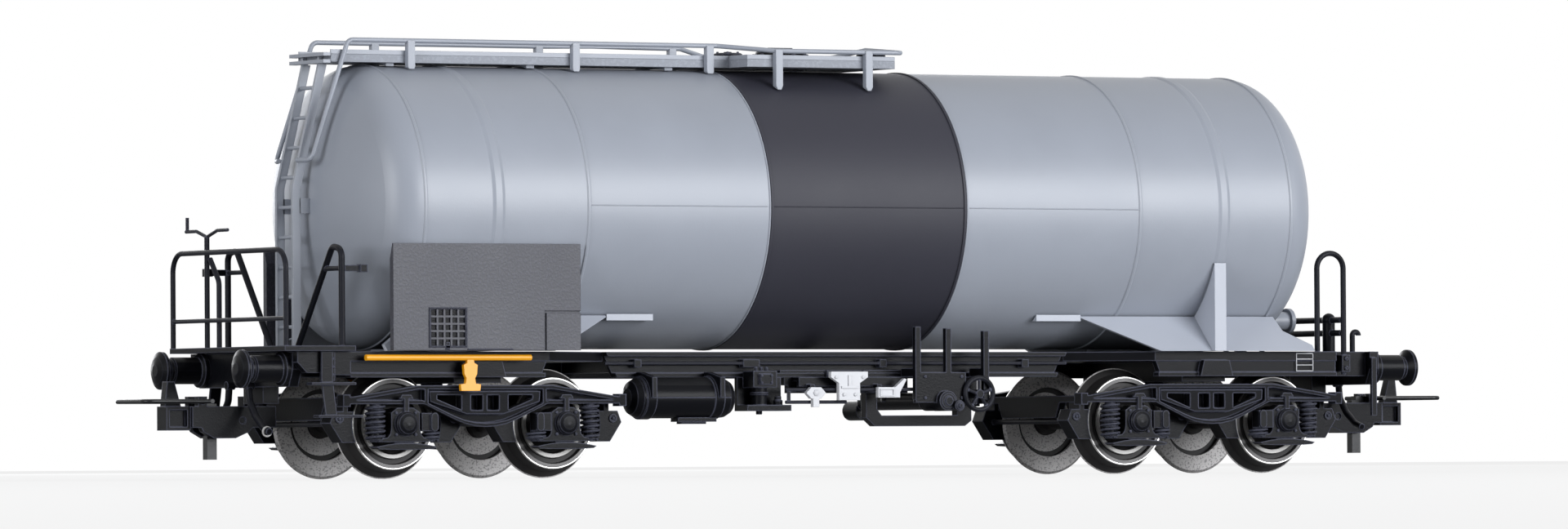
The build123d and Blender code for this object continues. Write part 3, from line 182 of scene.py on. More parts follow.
class Finish(Graph):
    """A material under construction."""

    def __init__(self, name):
        self.material = bpy.data.materials.new(name)
        self.material.use_nodes = True
        super().__init__(self.material.node_tree)
        self.shader = self.tree.nodes["Principled BSDF"]

    def set(self, **sockets):
        """Fill sockets of the main shader, whose names have spaces where these have lines."""
        for name, value in sockets.items():
            self.fill(self.shader.inputs[name.replace("_", " ")], value)


# %% [markdown]
# Positions come from the object's own coordinates, in metres, so noise sizes are written in
# millimetres and turned into a scale. Small helpers give noise, a blend of two colours, a softened
# edge and a bump. Edges could be rounded in the mesh instead, but the frame's solids stay as they
# are, and the Bevel node turns only the normal.

# %% Helpers for all finishes
bevel_samples = 4
soft_detail, fine_detail = 3, 2
first_colour, second_colour, mixed_colour = 6, 7, 2


def place(finish):
    """Where a point of the surface is, in the frame."""
    return finish.node("TexCoord", {}, {}, "Object")


def noise(finish, size_mm, detail=soft_detail):
    """Soft noise between 0 and 1, with patches of about this size."""
    sockets = {"Vector": place(finish), "Scale": 1 / (size_mm * MM), "Detail": detail}
    return finish.node("TexNoise", {}, sockets)


def blend(finish, share, first, second):
    """A colour between two colours. The Mix node keeps its colours in sockets 6, 7 and 2."""
    sockets = {0: share, first_colour: first, second_colour: second}
    return finish.node("Mix", {"data_type": "RGBA"}, sockets, mixed_colour)


def rounded(finish, radius_mm):
    """The surface's normal, turned near an edge as if the edge were slightly round."""
    return finish.node("Bevel", {"samples": bevel_samples}, {"Radius": radius_mm * MM})


def bump(finish, height, depth_mm, normal):
    """A normal that follows a height between 0 and 1."""
    sockets = {"Height": height, "Distance": depth_mm * MM, "Strength": 1.0, "Normal": normal}
    return finish.node("Bump", {}, sockets)


def tone(colour, factor=1):
    """The same colour, lighter or darker, with its alpha."""
    return tuple(min(1, channel * factor) for channel in colour) + (1,)


# %% [markdown]
# The car is moulded in plastic and sprayed. One flat colour would look like a drawing, so each
# finish has a base colour with faint cloudy variation, dust on upward faces, a fine orange-peel bump
# and softly rounded edges. Near an edge the rounded normal turns away from the face's own, and the
# angle between the two marks thin lines of painted highlight that make the black mouldings readable.

# %% Moulded plastic
cloud_size = 9
grain_size = 0.16
cloud_shift = 0.07
speckle_level = 0.56
speckle_tone = 1.9
edge_highlight_gain = 3
edge_highlight_tone = 30
level_face = 0.6
dust_colour = (0.3, 0.29, 0.27)
cloud_rough, grain_rough, dust_rough, rough_shift = 0.1, 0.06, 0.3, 0.08


def plastic(
    name, colour, roughness, dust, edge_mm=0.1, grain_mm=0.006, shine=0.5,
    grain_wide=grain_size, edge_highlight=0.0, speckle=0.0,
):
    """A sprayed plastic finish, with painted highlights along its edges and a speckle where they are asked
    for.
    """
    finish = Finish(name)
    clouds = noise(finish, cloud_size)
    grain = noise(finish, grain_wide, fine_detail)
    soft = rounded(finish, edge_mm)
    facing = finish.node("NewGeometry", {}, {}, "Normal")
    upward = finish.node("SeparateXYZ", {}, {"Vector": facing}, 2)
    dusty = (upward > level_face) * clouds * dust
    along = finish.node("VectorMath", {"operation": "DOT_PRODUCT"}, {0: facing, 1: soft}, "Value")
    # Painted highlight: where the rounded normal turns away near an edge, the colour is made lighter, as if
    # lit.
    painted_edge_highlight = (1 - along) * edge_highlight_gain * edge_highlight
    base = blend(finish, clouds, tone(colour, 1 - cloud_shift), tone(colour, 1 + cloud_shift))
    speckled = blend(finish, (grain > speckle_level) * speckle, base, tone(colour, speckle_tone))
    edged = blend(finish, painted_edge_highlight, speckled, tone(colour, edge_highlight_tone))
    uneven = clouds * cloud_rough + grain * grain_rough
    finish.set(
        Base_Color=blend(finish, dusty, edged, tone(dust_colour)),
        Roughness=uneven + (roughness - rough_shift) + dusty * dust_rough,
        Specular_IOR_Level=shine,
        Normal=bump(finish, grain, grain_mm, soft),
    )
    return finish


# %% [markdown]
# The tank is a bluish grey, and its saddles a lighter copy of it, painted light for the light that
# their upward sloping faces catch. The walkway on top has a rough, speckled sheet. The band is a dull
# near-black. The mouldings below it are black, and the bogies' black is a duller copy that stays darker
# for the shade under the tank, with stronger painted highlights on its edges. Each could be a material
# of its own, but one function with other numbers keeps them alike and easy to compare.

# %% Finishes of the mouldings
tank_colour = (0.29, 0.312, 0.36)
walk_colour = (0.25, 0.267, 0.305)
# The saddles' grey is the tank's grey made lighter, painted light for the light that their upward sloping
# faces catch.
saddle_lit_colour = (0.4, 0.425, 0.485)
band_colour = (0.027, 0.027, 0.038)
black_colour = (0.0042, 0.0044, 0.006)
ring_colour = (0.42, 0.41, 0.4)
sign_colour = (0.032, 0.0328, 0.0445)
yellow_colour = (0.86, 0.37, 0.006)
white_colour = (0.58, 0.585, 0.61)
finishes = {
    "tank_paint": plastic("tank_paint", tank_colour, 0.4, dust=0.03, edge_highlight=0.2),
    "saddle_lit_paint": plastic("saddle_lit_paint", saddle_lit_colour, 0.42, dust=0.03),
    "walk_paint": plastic(
        "walk_paint", walk_colour, 0.6, grain_mm=0.03, dust=0.05, grain_wide=0.35, speckle=0.16
    ),
    "band_paint": plastic("band_paint", band_colour, 0.55, dust=0, shine=0.3),
    "black_plastic": plastic(
        "black_plastic", black_colour, 0.31, edge_mm=0.2, grain_mm=0.015, dust=0.06, shine=0.08, edge_highlight=3
    ),
    # A duller copy of the black, which stays darker for the shade under the tank, with stronger painted
    # edge highlights.
    "bogie_shaded_plastic": plastic(
        "bogie_shaded_plastic", black_colour, 0.4, edge_mm=0.25, grain_mm=0.02, dust=0.04, shine=0.05, edge_highlight=4
    ),
    "sign_grey": plastic(
        "sign_grey", sign_colour, 0.5, grain_mm=0.03, dust=0.02, grain_wide=0.3, speckle=0.5
    ),
    "yellow": plastic("yellow", yellow_colour, 0.36, dust=0.02),
    "white": plastic("white", white_colour, 0.42, dust=0.02),
    "wheel_metal": plastic("ring_metal", ring_colour, 0.35, edge_mm=0.03, dust=0),
    "loop_wire": plastic("loop_wire", black_colour, 0.3, edge_mm=0.05, dust=0.04, shine=0.3, edge_highlight=0.3),
}
print(len(finishes), "plastic finishes")

# %% [markdown]
# The wheels are turned metal with a blackened disc. The zones could be separate materials on
# separate faces, but a wheel is one solid here, so its finish works out where it is. The distance
# from the axle and the distance from the car's middle tell the zones apart: a thin bright line at
# the rim's outer edge, dull steel inside it, a bright ridge, a speckled grey back and a dark tread,
# flange and disc. On the tread and the flange the dark is a painted reflection of dark surroundings.

# %% Zones of a wheel
axle_height = 6.2
face_out_mm, ridge_out_mm = 9.75, 9.2
back_out_mm, recess_out_mm = 7.6, 8.3
rim_mm, edge_line_mm, rim_end_mm = 4.45, 5.02, 5.6
ridge_low_mm, ridge_high_mm = 3.4, 3.95
back_low_mm = 3.9
recess_low_mm, recess_high_mm = 1.6, 3.5
groove_rate = 40
groove_depth = 0.004
soft_edge = 0.08
bright_metal, rim_metal, back_metal = 0.9, 0.7, 0.2
wheel_rough, bright_smooth, smudge_rough, wheel_shine = 0.46, 0.14, 0.08, 0.3
smudge_size, speck_size, speck_level = 1.5, 0.22, 0.57
ridge_share, speck_share = 0.55, 0.7
steel_pair = ((0.6, 0.59, 0.57), (0.78, 0.77, 0.75))
dull_pair = ((0.07, 0.068, 0.07), (0.14, 0.137, 0.135))
grey_pair = ((0.5, 0.485, 0.48), (0.16, 0.155, 0.155))
# Dark colour of the blackened disc, which on the tread and flange is a painted reflection of dark
# surroundings.
dark_disc_and_reflection_pair = ((0.012, 0.0115, 0.012), (0.026, 0.024, 0.024))


def within(value, low, high):
    """One where a value lies between two limits, and nought elsewhere."""
    return (value > low) * (value < high)


def two_tone(finish, share, pair):
    """A colour between the two of a pair."""
    return blend(finish, share, tone(pair[0]), tone(pair[1]))


print(len((steel_pair, dull_pair, grey_pair, dark_disc_and_reflection_pair)), "pairs of colours for the wheels")

# %% [markdown]
# The zones are sums of ones and noughts, so a colour is blended in where its zone is one. A noise
# moves each colour between the two of its pair, because a metal that is even looks like paint. Fine
# grooves round the axle are left by turning, and a sine of the radius gives their height. Each
# wheelset has a finish of its own, because its axle stands at its own place along the car.

# %% Turned metal of the wheels


def wheel_finish(name, axle_mm):
    """Bright lines, dull rim, grey back and dark disc round one axle at a place along X."""
    finish = Finish(name)
    spot = finish.node("SeparateXYZ", {}, {"Vector": place(finish)}, 0)
    sides = spot.socket.node.outputs
    across = spot - axle_mm * MM
    up = Value(finish, sides[2]) - axle_height * MM
    radius = (across * across + up * up) ** 0.5 / MM
    out = abs(Value(finish, sides[1])) / MM
    face = out > face_out_mm
    rim = face * within(radius, rim_mm, rim_end_mm)
    line = face * within(radius, edge_line_mm, rim_end_mm)
    ridge = (out > ridge_out_mm) * within(radius, ridge_low_mm, ridge_high_mm)
    recess = (out < recess_out_mm) * within(radius, recess_low_mm, recess_high_mm)
    back = (out < back_out_mm) * (radius > back_low_mm) + recess
    rings = (radius * groove_rate).maths("SINE") * 0.5 + 0.5
    smudge = noise(finish, smudge_size)
    specks = noise(finish, speck_size, fine_detail) > speck_level
    bright = line + ridge * ridge_share
    # The dark colour covers the blackened disc, and on the tread and flange it is a painted reflection.
    inner = blend(
        finish, back, two_tone(finish, smudge, dark_disc_and_reflection_pair), two_tone(finish, specks * speck_share, grey_pair)
    )
    outer = blend(finish, rim, inner, two_tone(finish, smudge, dull_pair))
    finish.set(
        Base_Color=blend(finish, bright, outer, two_tone(finish, smudge, steel_pair)),
        Metallic=bright * bright_metal + rim * (1 - line) * rim_metal + back * back_metal,
        Roughness=wheel_rough - bright * bright_smooth + smudge * smudge_rough,
        Specular_IOR_Level=wheel_shine,
        Normal=bump(finish, rings * rim, groove_depth, rounded(finish, soft_edge)),
    )
    return finish


wheelsets = [node_name for node_name in nodes if node_name.startswith("wheelset")]
for node_name in wheelsets:
    low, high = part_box(node_name)
    finishes[node_name] = wheel_finish(node_name, (low.x + high.x) / 2 / MM)
print(len(wheelsets), "wheelset finishes")

# %% [markdown]
# Each solid of the frame names the slot that it belongs to, and the slot's finish goes on it. This
# could be done by hand, solid by solid, but a table is safer and follows the frame when it changes.
# A few solids share a slot but look different on the real model, so their names choose the finish.

# %% Give every solid its finish
walk_nodes = ("walkway", "roof_deck")
slot_of = {row["node"]: row["material_slot"] for row in frame["record"]["subparts"]}
for node_name, solid in nodes.items():
    key = node_name if node_name in finishes else slot_of[node_name]
    key = "walk_paint" if node_name in walk_nodes else key
    key = "saddle_lit_paint" if node_name.startswith("saddle") else key
    key = "bogie_shaded_plastic" if node_name.startswith("bogie") else key
    solid.data.materials.clear()
    solid.data.materials.append(finishes[key].material)
print(len(slot_of), "solids finished")

# %% [markdown]
# Small fittings are meshes of their own. Blender's add-mesh operators would give one object for
# each screw, and joining them needs a selection. Here a mesh is collected from simple shapes in
# world millimetres instead: turned shapes, bent wires and slabs. It becomes one object, gets a
# finish and a slot, and rides on the body that carries it.

# %% Circles and spans


def circle(radius, count, start=0):
    """Points of a circle, as pairs of places."""
    angles = [2 * math.pi * (step + start) / count for step in range(count)]
    return [(radius * math.cos(angle), radius * math.sin(angle)) for angle in angles]


def span(face, inner, outer):
    """The lower and the higher place of a span on one side of the car, face being -1 or 1."""
    return sorted((face * inner, face * outer))


# %% [markdown]
# The collector is one bmesh, which is Blender's own mesh in the making. A lathe sets rings of points
# along an axis, a tube carries a ring along a line, and both get faces between neighbouring rings.
# A curve with a bevel could give the tubes too, but it would have to be turned into a mesh first.

# %% A collector of small shapes
slab_faces = ((0, 1, 3, 2), (4, 6, 7, 5), (0, 4, 5, 1), (2, 3, 7, 6), (0, 2, 6, 4), (1, 5, 7, 3))
wire_sides = 8


class Shapes:
    """Many small shapes in one mesh, in millimetres."""

    def __init__(self):
        self.mesh = bmesh.new()

    def skin(self, rings, closed):
        """Faces between rings of points, with lids on both ends unless they close a loop."""
        pairs = list(zip(rings, rings[1:])) + ([(rings[-1], rings[0])] if closed else [])
        for first, second in pairs:
            for step in range(len(first)):
                following = (step + 1) % len(first)
                self.mesh.faces.new((first[step], first[following], second[following], second[step]))
        if not closed:
            self.mesh.faces.new(list(reversed(rings[0])))
            self.mesh.faces.new(rings[-1])

    def lathe(self, centre, axis, profile, sides):
        """A turned shape from places along the axis and radii."""
        turn = Vector(axis).normalized().to_track_quat("Z", "Y").to_matrix()
        centre = Vector(centre)
        rings = []
        for along, radius in profile:
            spots = [centre + turn @ Vector((across, up, along)) for across, up in circle(radius, sides)]
            rings.append([self.mesh.verts.new(spot) for spot in spots])
        self.skin(rings, False)

    def tube(self, points, radius, closed=False):
        """A round wire along a line of points."""
        points = [Vector(point) for point in points]
        count = len(points)
        rings = []
        side = None
        for index, point in enumerate(points):
            if closed:
                ahead = points[(index + 1) % count] - points[index - 1]
            else:
                ahead = points[min(index + 1, count - 1)] - points[max(index - 1, 0)]
            ahead.normalize()
            if side is None:
                side = ahead.orthogonal().normalized()
            side = (side - ahead * side.dot(ahead)).normalized()
            other = ahead.cross(side)
            spots = [point + (side * across + other * up) * radius for across, up in circle(1, wire_sides)]
            rings.append([self.mesh.verts.new(spot) for spot in spots])
        self.skin(rings, closed)

    def slab(self, low, high):
        """A block between two corners."""
        corners = [
            self.mesh.verts.new((x, y, z))
            for x in (low[0], high[0])
            for y in (low[1], high[1])
            for z in (low[2], high[2])
        ]
        for face in slab_faces:
            self.mesh.faces.new([corners[corner] for corner in face])


# %% [markdown]
# A piece is a collector with a name, a body that it rides on and a slot. Once its shapes are there,
# it is scaled from millimetres to metres and becomes an object. Its faces are shaded smooth, but an
# edge that turns by more than 35 degrees stays sharp. A modifier could do that as well, but marks in
# the mesh need nothing later.

# %% A piece that rides on a body
crease = math.radians(35)


class Piece(Shapes):
    """One object of small shapes."""

    def __init__(self, name, body, slot_name):
        super().__init__()
        self.name = name
        self.body = body
        self.slot_name = slot_name

    def finish(self, smooth=True):
        """Make the object and set it riding."""
        bmesh.ops.scale(self.mesh, vec=(MM, MM, MM), verts=self.mesh.verts)
        bmesh.ops.recalc_face_normals(self.mesh, faces=self.mesh.faces)
        data = bpy.data.meshes.new(self.name)
        self.mesh.to_mesh(data)
        self.mesh.free()
        made = bpy.data.objects.new(self.name, data)
        bpy.context.collection.objects.link(made)
        data.materials.append(finishes[self.slot_name].material)
        if smooth:
            for polygon in data.polygons:
                polygon.use_smooth = True
            data.set_sharp_from_angle(angle=crease)
        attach(made, self.body)
        print(self.name, len(data.polygons), "faces")


# %% [markdown]
# The bogie springs are coils. The frame has a stack of discs for each, and a helix of wire over
# its rim gives the coil that shows. A Screw modifier could wind it, but a formula gives the same
# points and leaves no modifier behind. Outside each axle stands a tall spring, inside it a short one.

# %% Spring coils of the bogies
axle_pitch = 10.25
bogie_x = 48.45
spring_offset = 3.45
spring_y = 12.2
spring_low = 4.35
spring_tops = {1: 8.2, -1: 5.2}
spring_turns = {1: 7, -1: 2}
spring_wire = 0.15
spring_coil = 1.04
coil_steps = 18
sides_of_bogie = [(axle, face) for axle in (-axle_pitch, axle_pitch) for face in (-1, 1)]
ends = (("brake_end", -1), ("plain_end", 1))


def helix(centre, low, high, radius, turns):
    """Points of an upright helix."""
    total = turns * coil_steps
    points = []
    for step in range(total + 1):
        angle = 2 * math.pi * step / coil_steps
        reach = (centre[0] + radius * math.cos(angle), centre[1] + radius * math.sin(angle))
        points.append((*reach, low + step / total * (high - low)))
    return points


for end_name, side in ends:
    springs = Piece("springs_" + end_name, "bogie_" + end_name, "black_plastic")
    for axle, face in sides_of_bogie:
        outward = 1 if axle > 0 else -1
        for way in (1, -1):
            centre = (side * bogie_x + axle + outward * way * spring_offset, face * spring_y)
            coil = helix(centre, spring_low, spring_tops[way], spring_coil, spring_turns[way])
            springs.tube(coil, spring_wire)
    springs.finish()

# %% [markdown]
# Each axlebox cover has four screws round it, and each brake shoe holder a ringed pin. A slot or a
# thread could be cut in them, but at this size nobody would see it, so a screw is a short turned
# shape with six sides and a narrower crown. One helper sets a turned shape on a face at one side of
# the car, because most fittings are made that way.

# %% Screws of the axleboxes and pins of the brake shoes
box_face = 13.0
screw_reach = 1.22
screw_profile = ((0, 0.2), (0.14, 0.2), (0.22, 0.11))
shoe_face = 10.8
shoe_pin_out = 7.25
shoe_pin_z = 6.75
pin_profile = ((0, 0.5), (0.14, 0.5), (0.14, 0.32), (0.06, 0.3), (0.06, 0.17), (0.28, 0.13))
hexagon = 6
pin_sides = 20
corners = [(across, up) for across in (-screw_reach, screw_reach) for up in (-screw_reach, screw_reach)]


def on_side(piece, face, x, out, z, profile, sides=hexagon):
    """A turned shape that points outward from a face of the car's side."""
    piece.lathe((x, face * out, z), (0, face, 0), profile, sides)


for end_name, side in ends:
    screws = Piece("screws_" + end_name, "bogie_" + end_name, "black_plastic")
    for axle, face in sides_of_bogie:
        x = side * bogie_x + axle
        for across, up in corners:
            on_side(screws, face, x + across, box_face, axle_height + up, screw_profile)
        for way in (-shoe_pin_out, shoe_pin_out):
            on_side(screws, face, x + way, shoe_face, shoe_pin_z, pin_profile, pin_sides)
    screws.finish()

# %% [markdown]
# The tank's mouldings show a weld along each side, at the height of the tank's middle. A groove
# would have to be cut in the solid, so it is a thin wire half sunk in the barrel instead, in the
# finish of the course that it crosses.

# %% Seams of the tank
tank_radius = 16.1
tank_middle = 30.8
seam_from = 13.5
seam_to = 36.5
seam_radius = 0.07
seam_gap = 0.8


def seam(piece, face, start, stop):
    """A level weld on one side of the barrel between two places along the car."""
    y = face * tank_radius
    piece.tube(((start, y, tank_middle), (stop, y, tank_middle)), seam_radius)


seams = Piece("tank_seams", "car", "tank_paint")
for side in (-1, 1):
    for face in (-1, 1):
        seam(seams, face, side * seam_from, side * seam_to)
seams.finish()
band_seams = Piece("band_seams", "car", "band_paint")
for face in (-1, 1):
    seam(band_seams, face, seam_gap - seam_from, seam_from - seam_gap)
band_seams.finish()

# %% [markdown]
# The manhole cover is clamped down by screws round its rim. A flat lid with a grab bow stands on
# its dome, and each valve cover carries a cap with a ring of bolts. An Array modifier could repeat
# a screw round a rim, but a loop over a circle's points needs no helper object. Apart from the bow,
# a bent wire, they are turned shapes, and their heights come from the boxes of the frame's solids.

# %% Clamps and caps of the roof covers
upright = (0, 0, 1)
lid_x = -2.4
lid_ring = 3.12
dome_height = 0.65
clamp_count = 10
clamp_profile = ((0, 0.3), (0.3, 0.3), (0.42, 0.18))
lid_profile = ((0, 2.75), (0.12, 2.75), (0.2, 2.4), (0.2, 0.6), (0.26, 0.5))
bow_half = 1.6
bow_foot, bow_rise, bow_wire = 0.1, 0.4, 0.12
cap_profile = ((0, 1.7), (0.35, 1.7), (0.48, 1.5), (0.48, 0.5), (0.62, 0.45))
lid_sides, cap_sides = 40, 32
cap_places = ((-8.94, 0.82), (6.23, -6.07))
cap_bolts = 6
cap_bolt_ring, cap_bolt_rise = 1.35, 0.4
cap_bolt_profile = ((0, 0.2), (0.22, 0.14))
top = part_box("manhole")[1].z / MM
cap_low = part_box("valve_covers")[1].z / MM
roof = Piece("roof_clamps", "car", "black_plastic")
for across, aside in circle(lid_ring, clamp_count, 0.5):
    roof.lathe((lid_x + across, aside, top - dome_height), upright, clamp_profile, hexagon)
roof.lathe((lid_x, 0, top), upright, lid_profile, lid_sides)
bow_line = ((-bow_half, bow_foot), (-bow_half, bow_rise), (bow_half, bow_rise), (bow_half, bow_foot))
roof.tube([(lid_x + along, 0, top + rise) for along, rise in bow_line], bow_wire)
for x, y in cap_places:
    roof.lathe((x, y, cap_low), upright, cap_profile, cap_sides)
    for across, aside in circle(cap_bolt_ring, cap_bolts):
        bolt_place = (x + across, y + aside, cap_low + cap_bolt_rise)
        roof.lathe(bolt_place, upright, cap_bolt_profile, hexagon)
roof.finish()

# %% [markdown]
# Low toe boards edge the walkway and the platform round the manhole, so that a foot can't slip off.
# They are thin strips that stand on the plates of the frame. Their places could be typed in, but
# taken from the plates' boxes they still fit if the frame changes.

# %% Toe boards of the walkway
board_rise = 0.5
board_thick = 0.2
board_sunk = 0.02
end_board_thick = 0.15
deck_low, deck_high = (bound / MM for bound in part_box("roof_deck"))
walk_low, walk_high = (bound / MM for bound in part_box("walkway"))
toe_floor = deck_high.z - board_sunk
toe_top = deck_high.z + board_rise
side_reach = deck_high.y - board_thick
toes = Piece("toe_boards", "car", "tank_paint")
for face in (-1, 1):
    strips = (
        (walk_low.x, deck_low.x, walk_high.y - board_thick, walk_high.y),
        (deck_low.x, deck_high.x, side_reach, deck_high.y),
        (deck_low.x, deck_low.x + board_thick, walk_high.y, side_reach),
    )
    for left, right, inner, outer in strips:
        near, far = span(face, inner, outer)
        toes.slab((left, near, toe_floor), (right, far, toe_top))
toes.slab((deck_high.x - end_board_thick, -side_reach, toe_floor), (deck_high.x, side_reach, toe_top))
toes.finish(smooth=False)

# %% [markdown]
# A thin rim in the tank's grey borders the dark band at each end. The finish could draw it as a
# stripe, but a wire ring half sunk in the barrel catches the light as a moulded edge does.

# %% Rims of the dark band
rim_steps = 96
rim_radius = 16.12
rim_wire = 0.11
rim_place = 13.14
rims = Piece("band_rims", "car", "tank_paint")
for side in (-1, 1):
    around = circle(rim_radius, rim_steps)
    rims.tube([(side * rim_place, y, tank_middle + z) for y, z in around], rim_wire, closed=True)
rims.finish()

# %% [markdown]
# Rivets hold the straps of the side panels under the platform, two beside each other at three
# heights, and a pair of bolts holds each hoop's clamp at the other end. A head could be half a
# sphere, but most of its faces would be too small to see, and three rings of points look as round.

# %% Rivets
rivet_profile = ((0, 0.2), (0.08, 0.17), (0.15, 0.08))
rivet_sides = 10
bolt_profile = ((0, 0.28), (0.16, 0.28), (0.22, 0.2))
strap_x = -68.4
strap_face = 13.45
rivet_aside = 0.3
rivet_heights = (11.7, 12.6, 13.5)
clamp_x = 66.9
clamp_bolt_heights = (12.35, 13.45)
rivets = Piece("frame_rivets", "car", "black_plastic")
for face in (-1, 1):
    for z in rivet_heights:
        for along in (-rivet_aside, rivet_aside):
            on_side(rivets, face, strap_x + along, strap_face, z, rivet_profile, rivet_sides)
    for z in clamp_bolt_heights:
        on_side(rivets, face, clamp_x, strap_face, z, bolt_profile)
rivets.finish()

# %% [markdown]
# Two short stays hold the ladder to the dished end, one behind each rail. They are flat straps. A
# Mirror modifier could double one of them, but a loop over both sides is plainer for two slabs.

# %% Stays of the ladder
stay_from, stay_to = -66.35, -64.9
stay_inner, stay_outer = 1.75, 2.2
stay_low, stay_high = 30.0, 31.7
stays = Piece("ladder_stays", "car", "tank_paint")
for face in (-1, 1):
    near, far = span(face, stay_inner, stay_outer)
    stays.slab((stay_from, near, stay_low), (stay_to, far, stay_high))
stays.finish()

# %% [markdown]
# Each side board has a dark ventilated panel in its lower corner. The board itself has the crossed
# bars, so the piece adds the dark sheet behind them, a thin frame round them, a latch and a low
# rail. A picture on the board could fake them, but it would have no edges to catch the light.

# %% Dark panel of the side boards
board_face = 15.9
panel_floor = 15.7
sheet_thick = 0.03
frame_wide = 0.22
frame_rise = 0.1
grille_left, grille_right = -57.0, -52.6
grille_low, grille_high = 14.9, 19.0
latch_box = (-55.1, -54.6, 14.42, 15.3)
rail_box = (-52.3, -46.5, 14.42, 14.6)


def frame_bars(left, right, low, high, wide):
    """Four bars round an opening, as their ends along X and along Z."""
    return (
        (left - wide, right + wide, low - wide, low),
        (left - wide, right + wide, high, high + wide),
        (left - wide, left, low, high),
        (right, right + wide, low, high),
    )


raised_boxes = (
    *frame_bars(grille_left, grille_right, grille_low, grille_high, frame_wide),
    latch_box,
    rail_box,
)
grille = Piece("board_panels", "car", "black_plastic")
for face in (-1, 1):
    near, far = span(face, panel_floor, panel_floor + sheet_thick)
    grille.slab((grille_left, near, grille_low), (grille_right, far, grille_high))
    near, far = span(face, board_face, board_face + frame_rise)
    for left, right, low, high in raised_boxes:
        grille.slab((left, near, low), (right, far, high))
grille.finish()

# %% [markdown]
# The white controls are plates with raised details: a hub on the knob, screws and a rib on the
# T-shaped plate, and a square frame on the box. A bump in the finish could draw them, but it would
# throw no shadow, so they stand a tenth of a millimetre proud. They are only on the side that has
# the controls.

# %% Raised details of the white controls
control_face = 12.3
raised = 0.12
stud_profile = ((0, 0.22), (raised, 0.2), (raised + 0.04, 0.12))
stud_sides = 12
studs = ((-2.35, 11.35), (1.25, 11.35), (-1.3, 9.35), (0.2, 9.35))
hub_x, hub_z = -5.0, 9.55
hub_profile = ((0, 0.42), (raised, 0.38), (raised + 0.1, 0.2))
rib_boxes = ((-1.65, 0.55, 10.05, 10.35), (-0.75, -0.35, 10.35, 11.6))
square_bars = ((3.5, 5.4, 9.15, 9.3), (3.5, 5.4, 9.9, 10.05), (3.5, 3.65, 9.3, 9.9), (5.25, 5.4, 9.3, 9.9))
details = Piece("control_details", "car", "white")
for x, z in studs:
    on_side(details, -1, x, control_face, z, stud_profile, stud_sides)
on_side(details, -1, hub_x, control_face, hub_z, hub_profile)
for left, right, low, high in rib_boxes + square_bars:
    details.slab((left, -control_face - raised, low), (right, -control_face, high))
details.finish()

# %% [markdown]
# Behind the white controls a shallow trough hangs under the near girder. It is a pressed sheet with
# a lip along its foot and three ribs, and its foot rises in steps toward its left end. It could be
# one folded sheet, made thick with a Solidify modifier, but the controls hide most of it, so slabs
# are close enough.

# %% Trough behind the controls
trough_out, trough_in, lip_out = -9.05, -8.3, -9.45
trough_left, trough_right = -6.9, 8.9
trough_top, trough_low = 12.2, 9.55
step_long, step_rise = 0.5, 0.9
lip_thick = 0.25
rib_places = (-1.9, 3.0, 8.7)
rib_thick = 0.2
trough = Piece("middle_trough", "car", "black_plastic")
trough.slab((trough_left, trough_out, trough_low), (trough_right, trough_in, trough_top))
for step in (1, 2):
    step_left = trough_left - step * step_long
    step_low = trough_low + step * step_rise
    trough.slab((step_left, trough_out, step_low), (step_left + step_long, trough_in, trough_top))
trough.slab((trough_left, lip_out, trough_low), (trough_right, trough_out, trough_low + lip_thick))
for x in rib_places:
    trough.slab((x, lip_out, trough_low + lip_thick), (x + rib_thick, trough_out, trough_top))
trough.finish(smooth=False)

# %% [markdown]
# The air reservoir has a seam along its side and a stepped foot plate below. The distributor
# beside it has bolts on its face and its lid, a collar and a nut on its cup, and a small valve on
# the shelf. Each shape starts a little inside the solid that carries it, so no gap can show.

# %% Fittings of the brake gear
reservoir_from, reservoir_to = -27.4, -16.3
reservoir_y, reservoir_z = -12.36, 9.05
reservoir_seam = 0.09
foot_boxes = (((-22.4, -10.9, 6.3), (-17.4, -9.1, 6.8)), ((-21.8, -10.6, 6.05), (-18.6, -9.4, 6.3)))
cover_face = 11.95
cover_bolts = ((-12.0, 10.75), (-12.0, 11.55), (-10.7, 10.75), (-10.7, 11.55))
cover_bolt_profile = ((0, 0.16), (0.12, 0.16), (0.18, 0.1))
cup_y = -10.4
collar_profile = ((0, 1.0), (0.08, 1.08), (0.32, 1.08), (0.4, 1.0))
cup_nut_profile = ((0, 0.35), (0.1, 0.42), (0.7, 0.42))
valve_profile = ((0, 0.55), (0.5, 0.55), (0.6, 0.4), (0.95, 0.4), (1.0, 0.3))
lid_bolt_profile = ((0, 0.22), (0.4, 0.22), (0.5, 0.12))
upright_shapes = (
    (-11.5, 9.3, collar_profile, 24),
    (-11.5, 7.1, cup_nut_profile, hexagon),
    (-9.0, 8.2, valve_profile, 16),
    (-11.9, 12.1, lid_bolt_profile, 8),
    (-11.2, 12.1, lid_bolt_profile, 8),
    (-10.5, 12.1, lid_bolt_profile, 8),
)
gear = Piece("brake_gear_fittings", "car", "black_plastic")
reservoir_line = [(x, reservoir_y, reservoir_z) for x in (reservoir_from, reservoir_to)]
gear.tube(reservoir_line, reservoir_seam)
for box_low, box_high in foot_boxes:
    gear.slab(box_low, box_high)
for x, z in cover_bolts:
    on_side(gear, -1, x, cover_face, z, cover_bolt_profile)
for x, z, profile, sides in upright_shapes:
    gear.lathe((x, cup_y, z), upright, profile, sides)
gear.finish()

# %% [markdown]
# The discharge gear has bolts at the corners of its plate, a ringed cap on the tap and a boss on
# the outlet. Copies of one bolt object could be placed, but then each would be a piece of its own.
# All of it faces outward, as the screws of the bogies do, so the same helper makes it in one mesh.

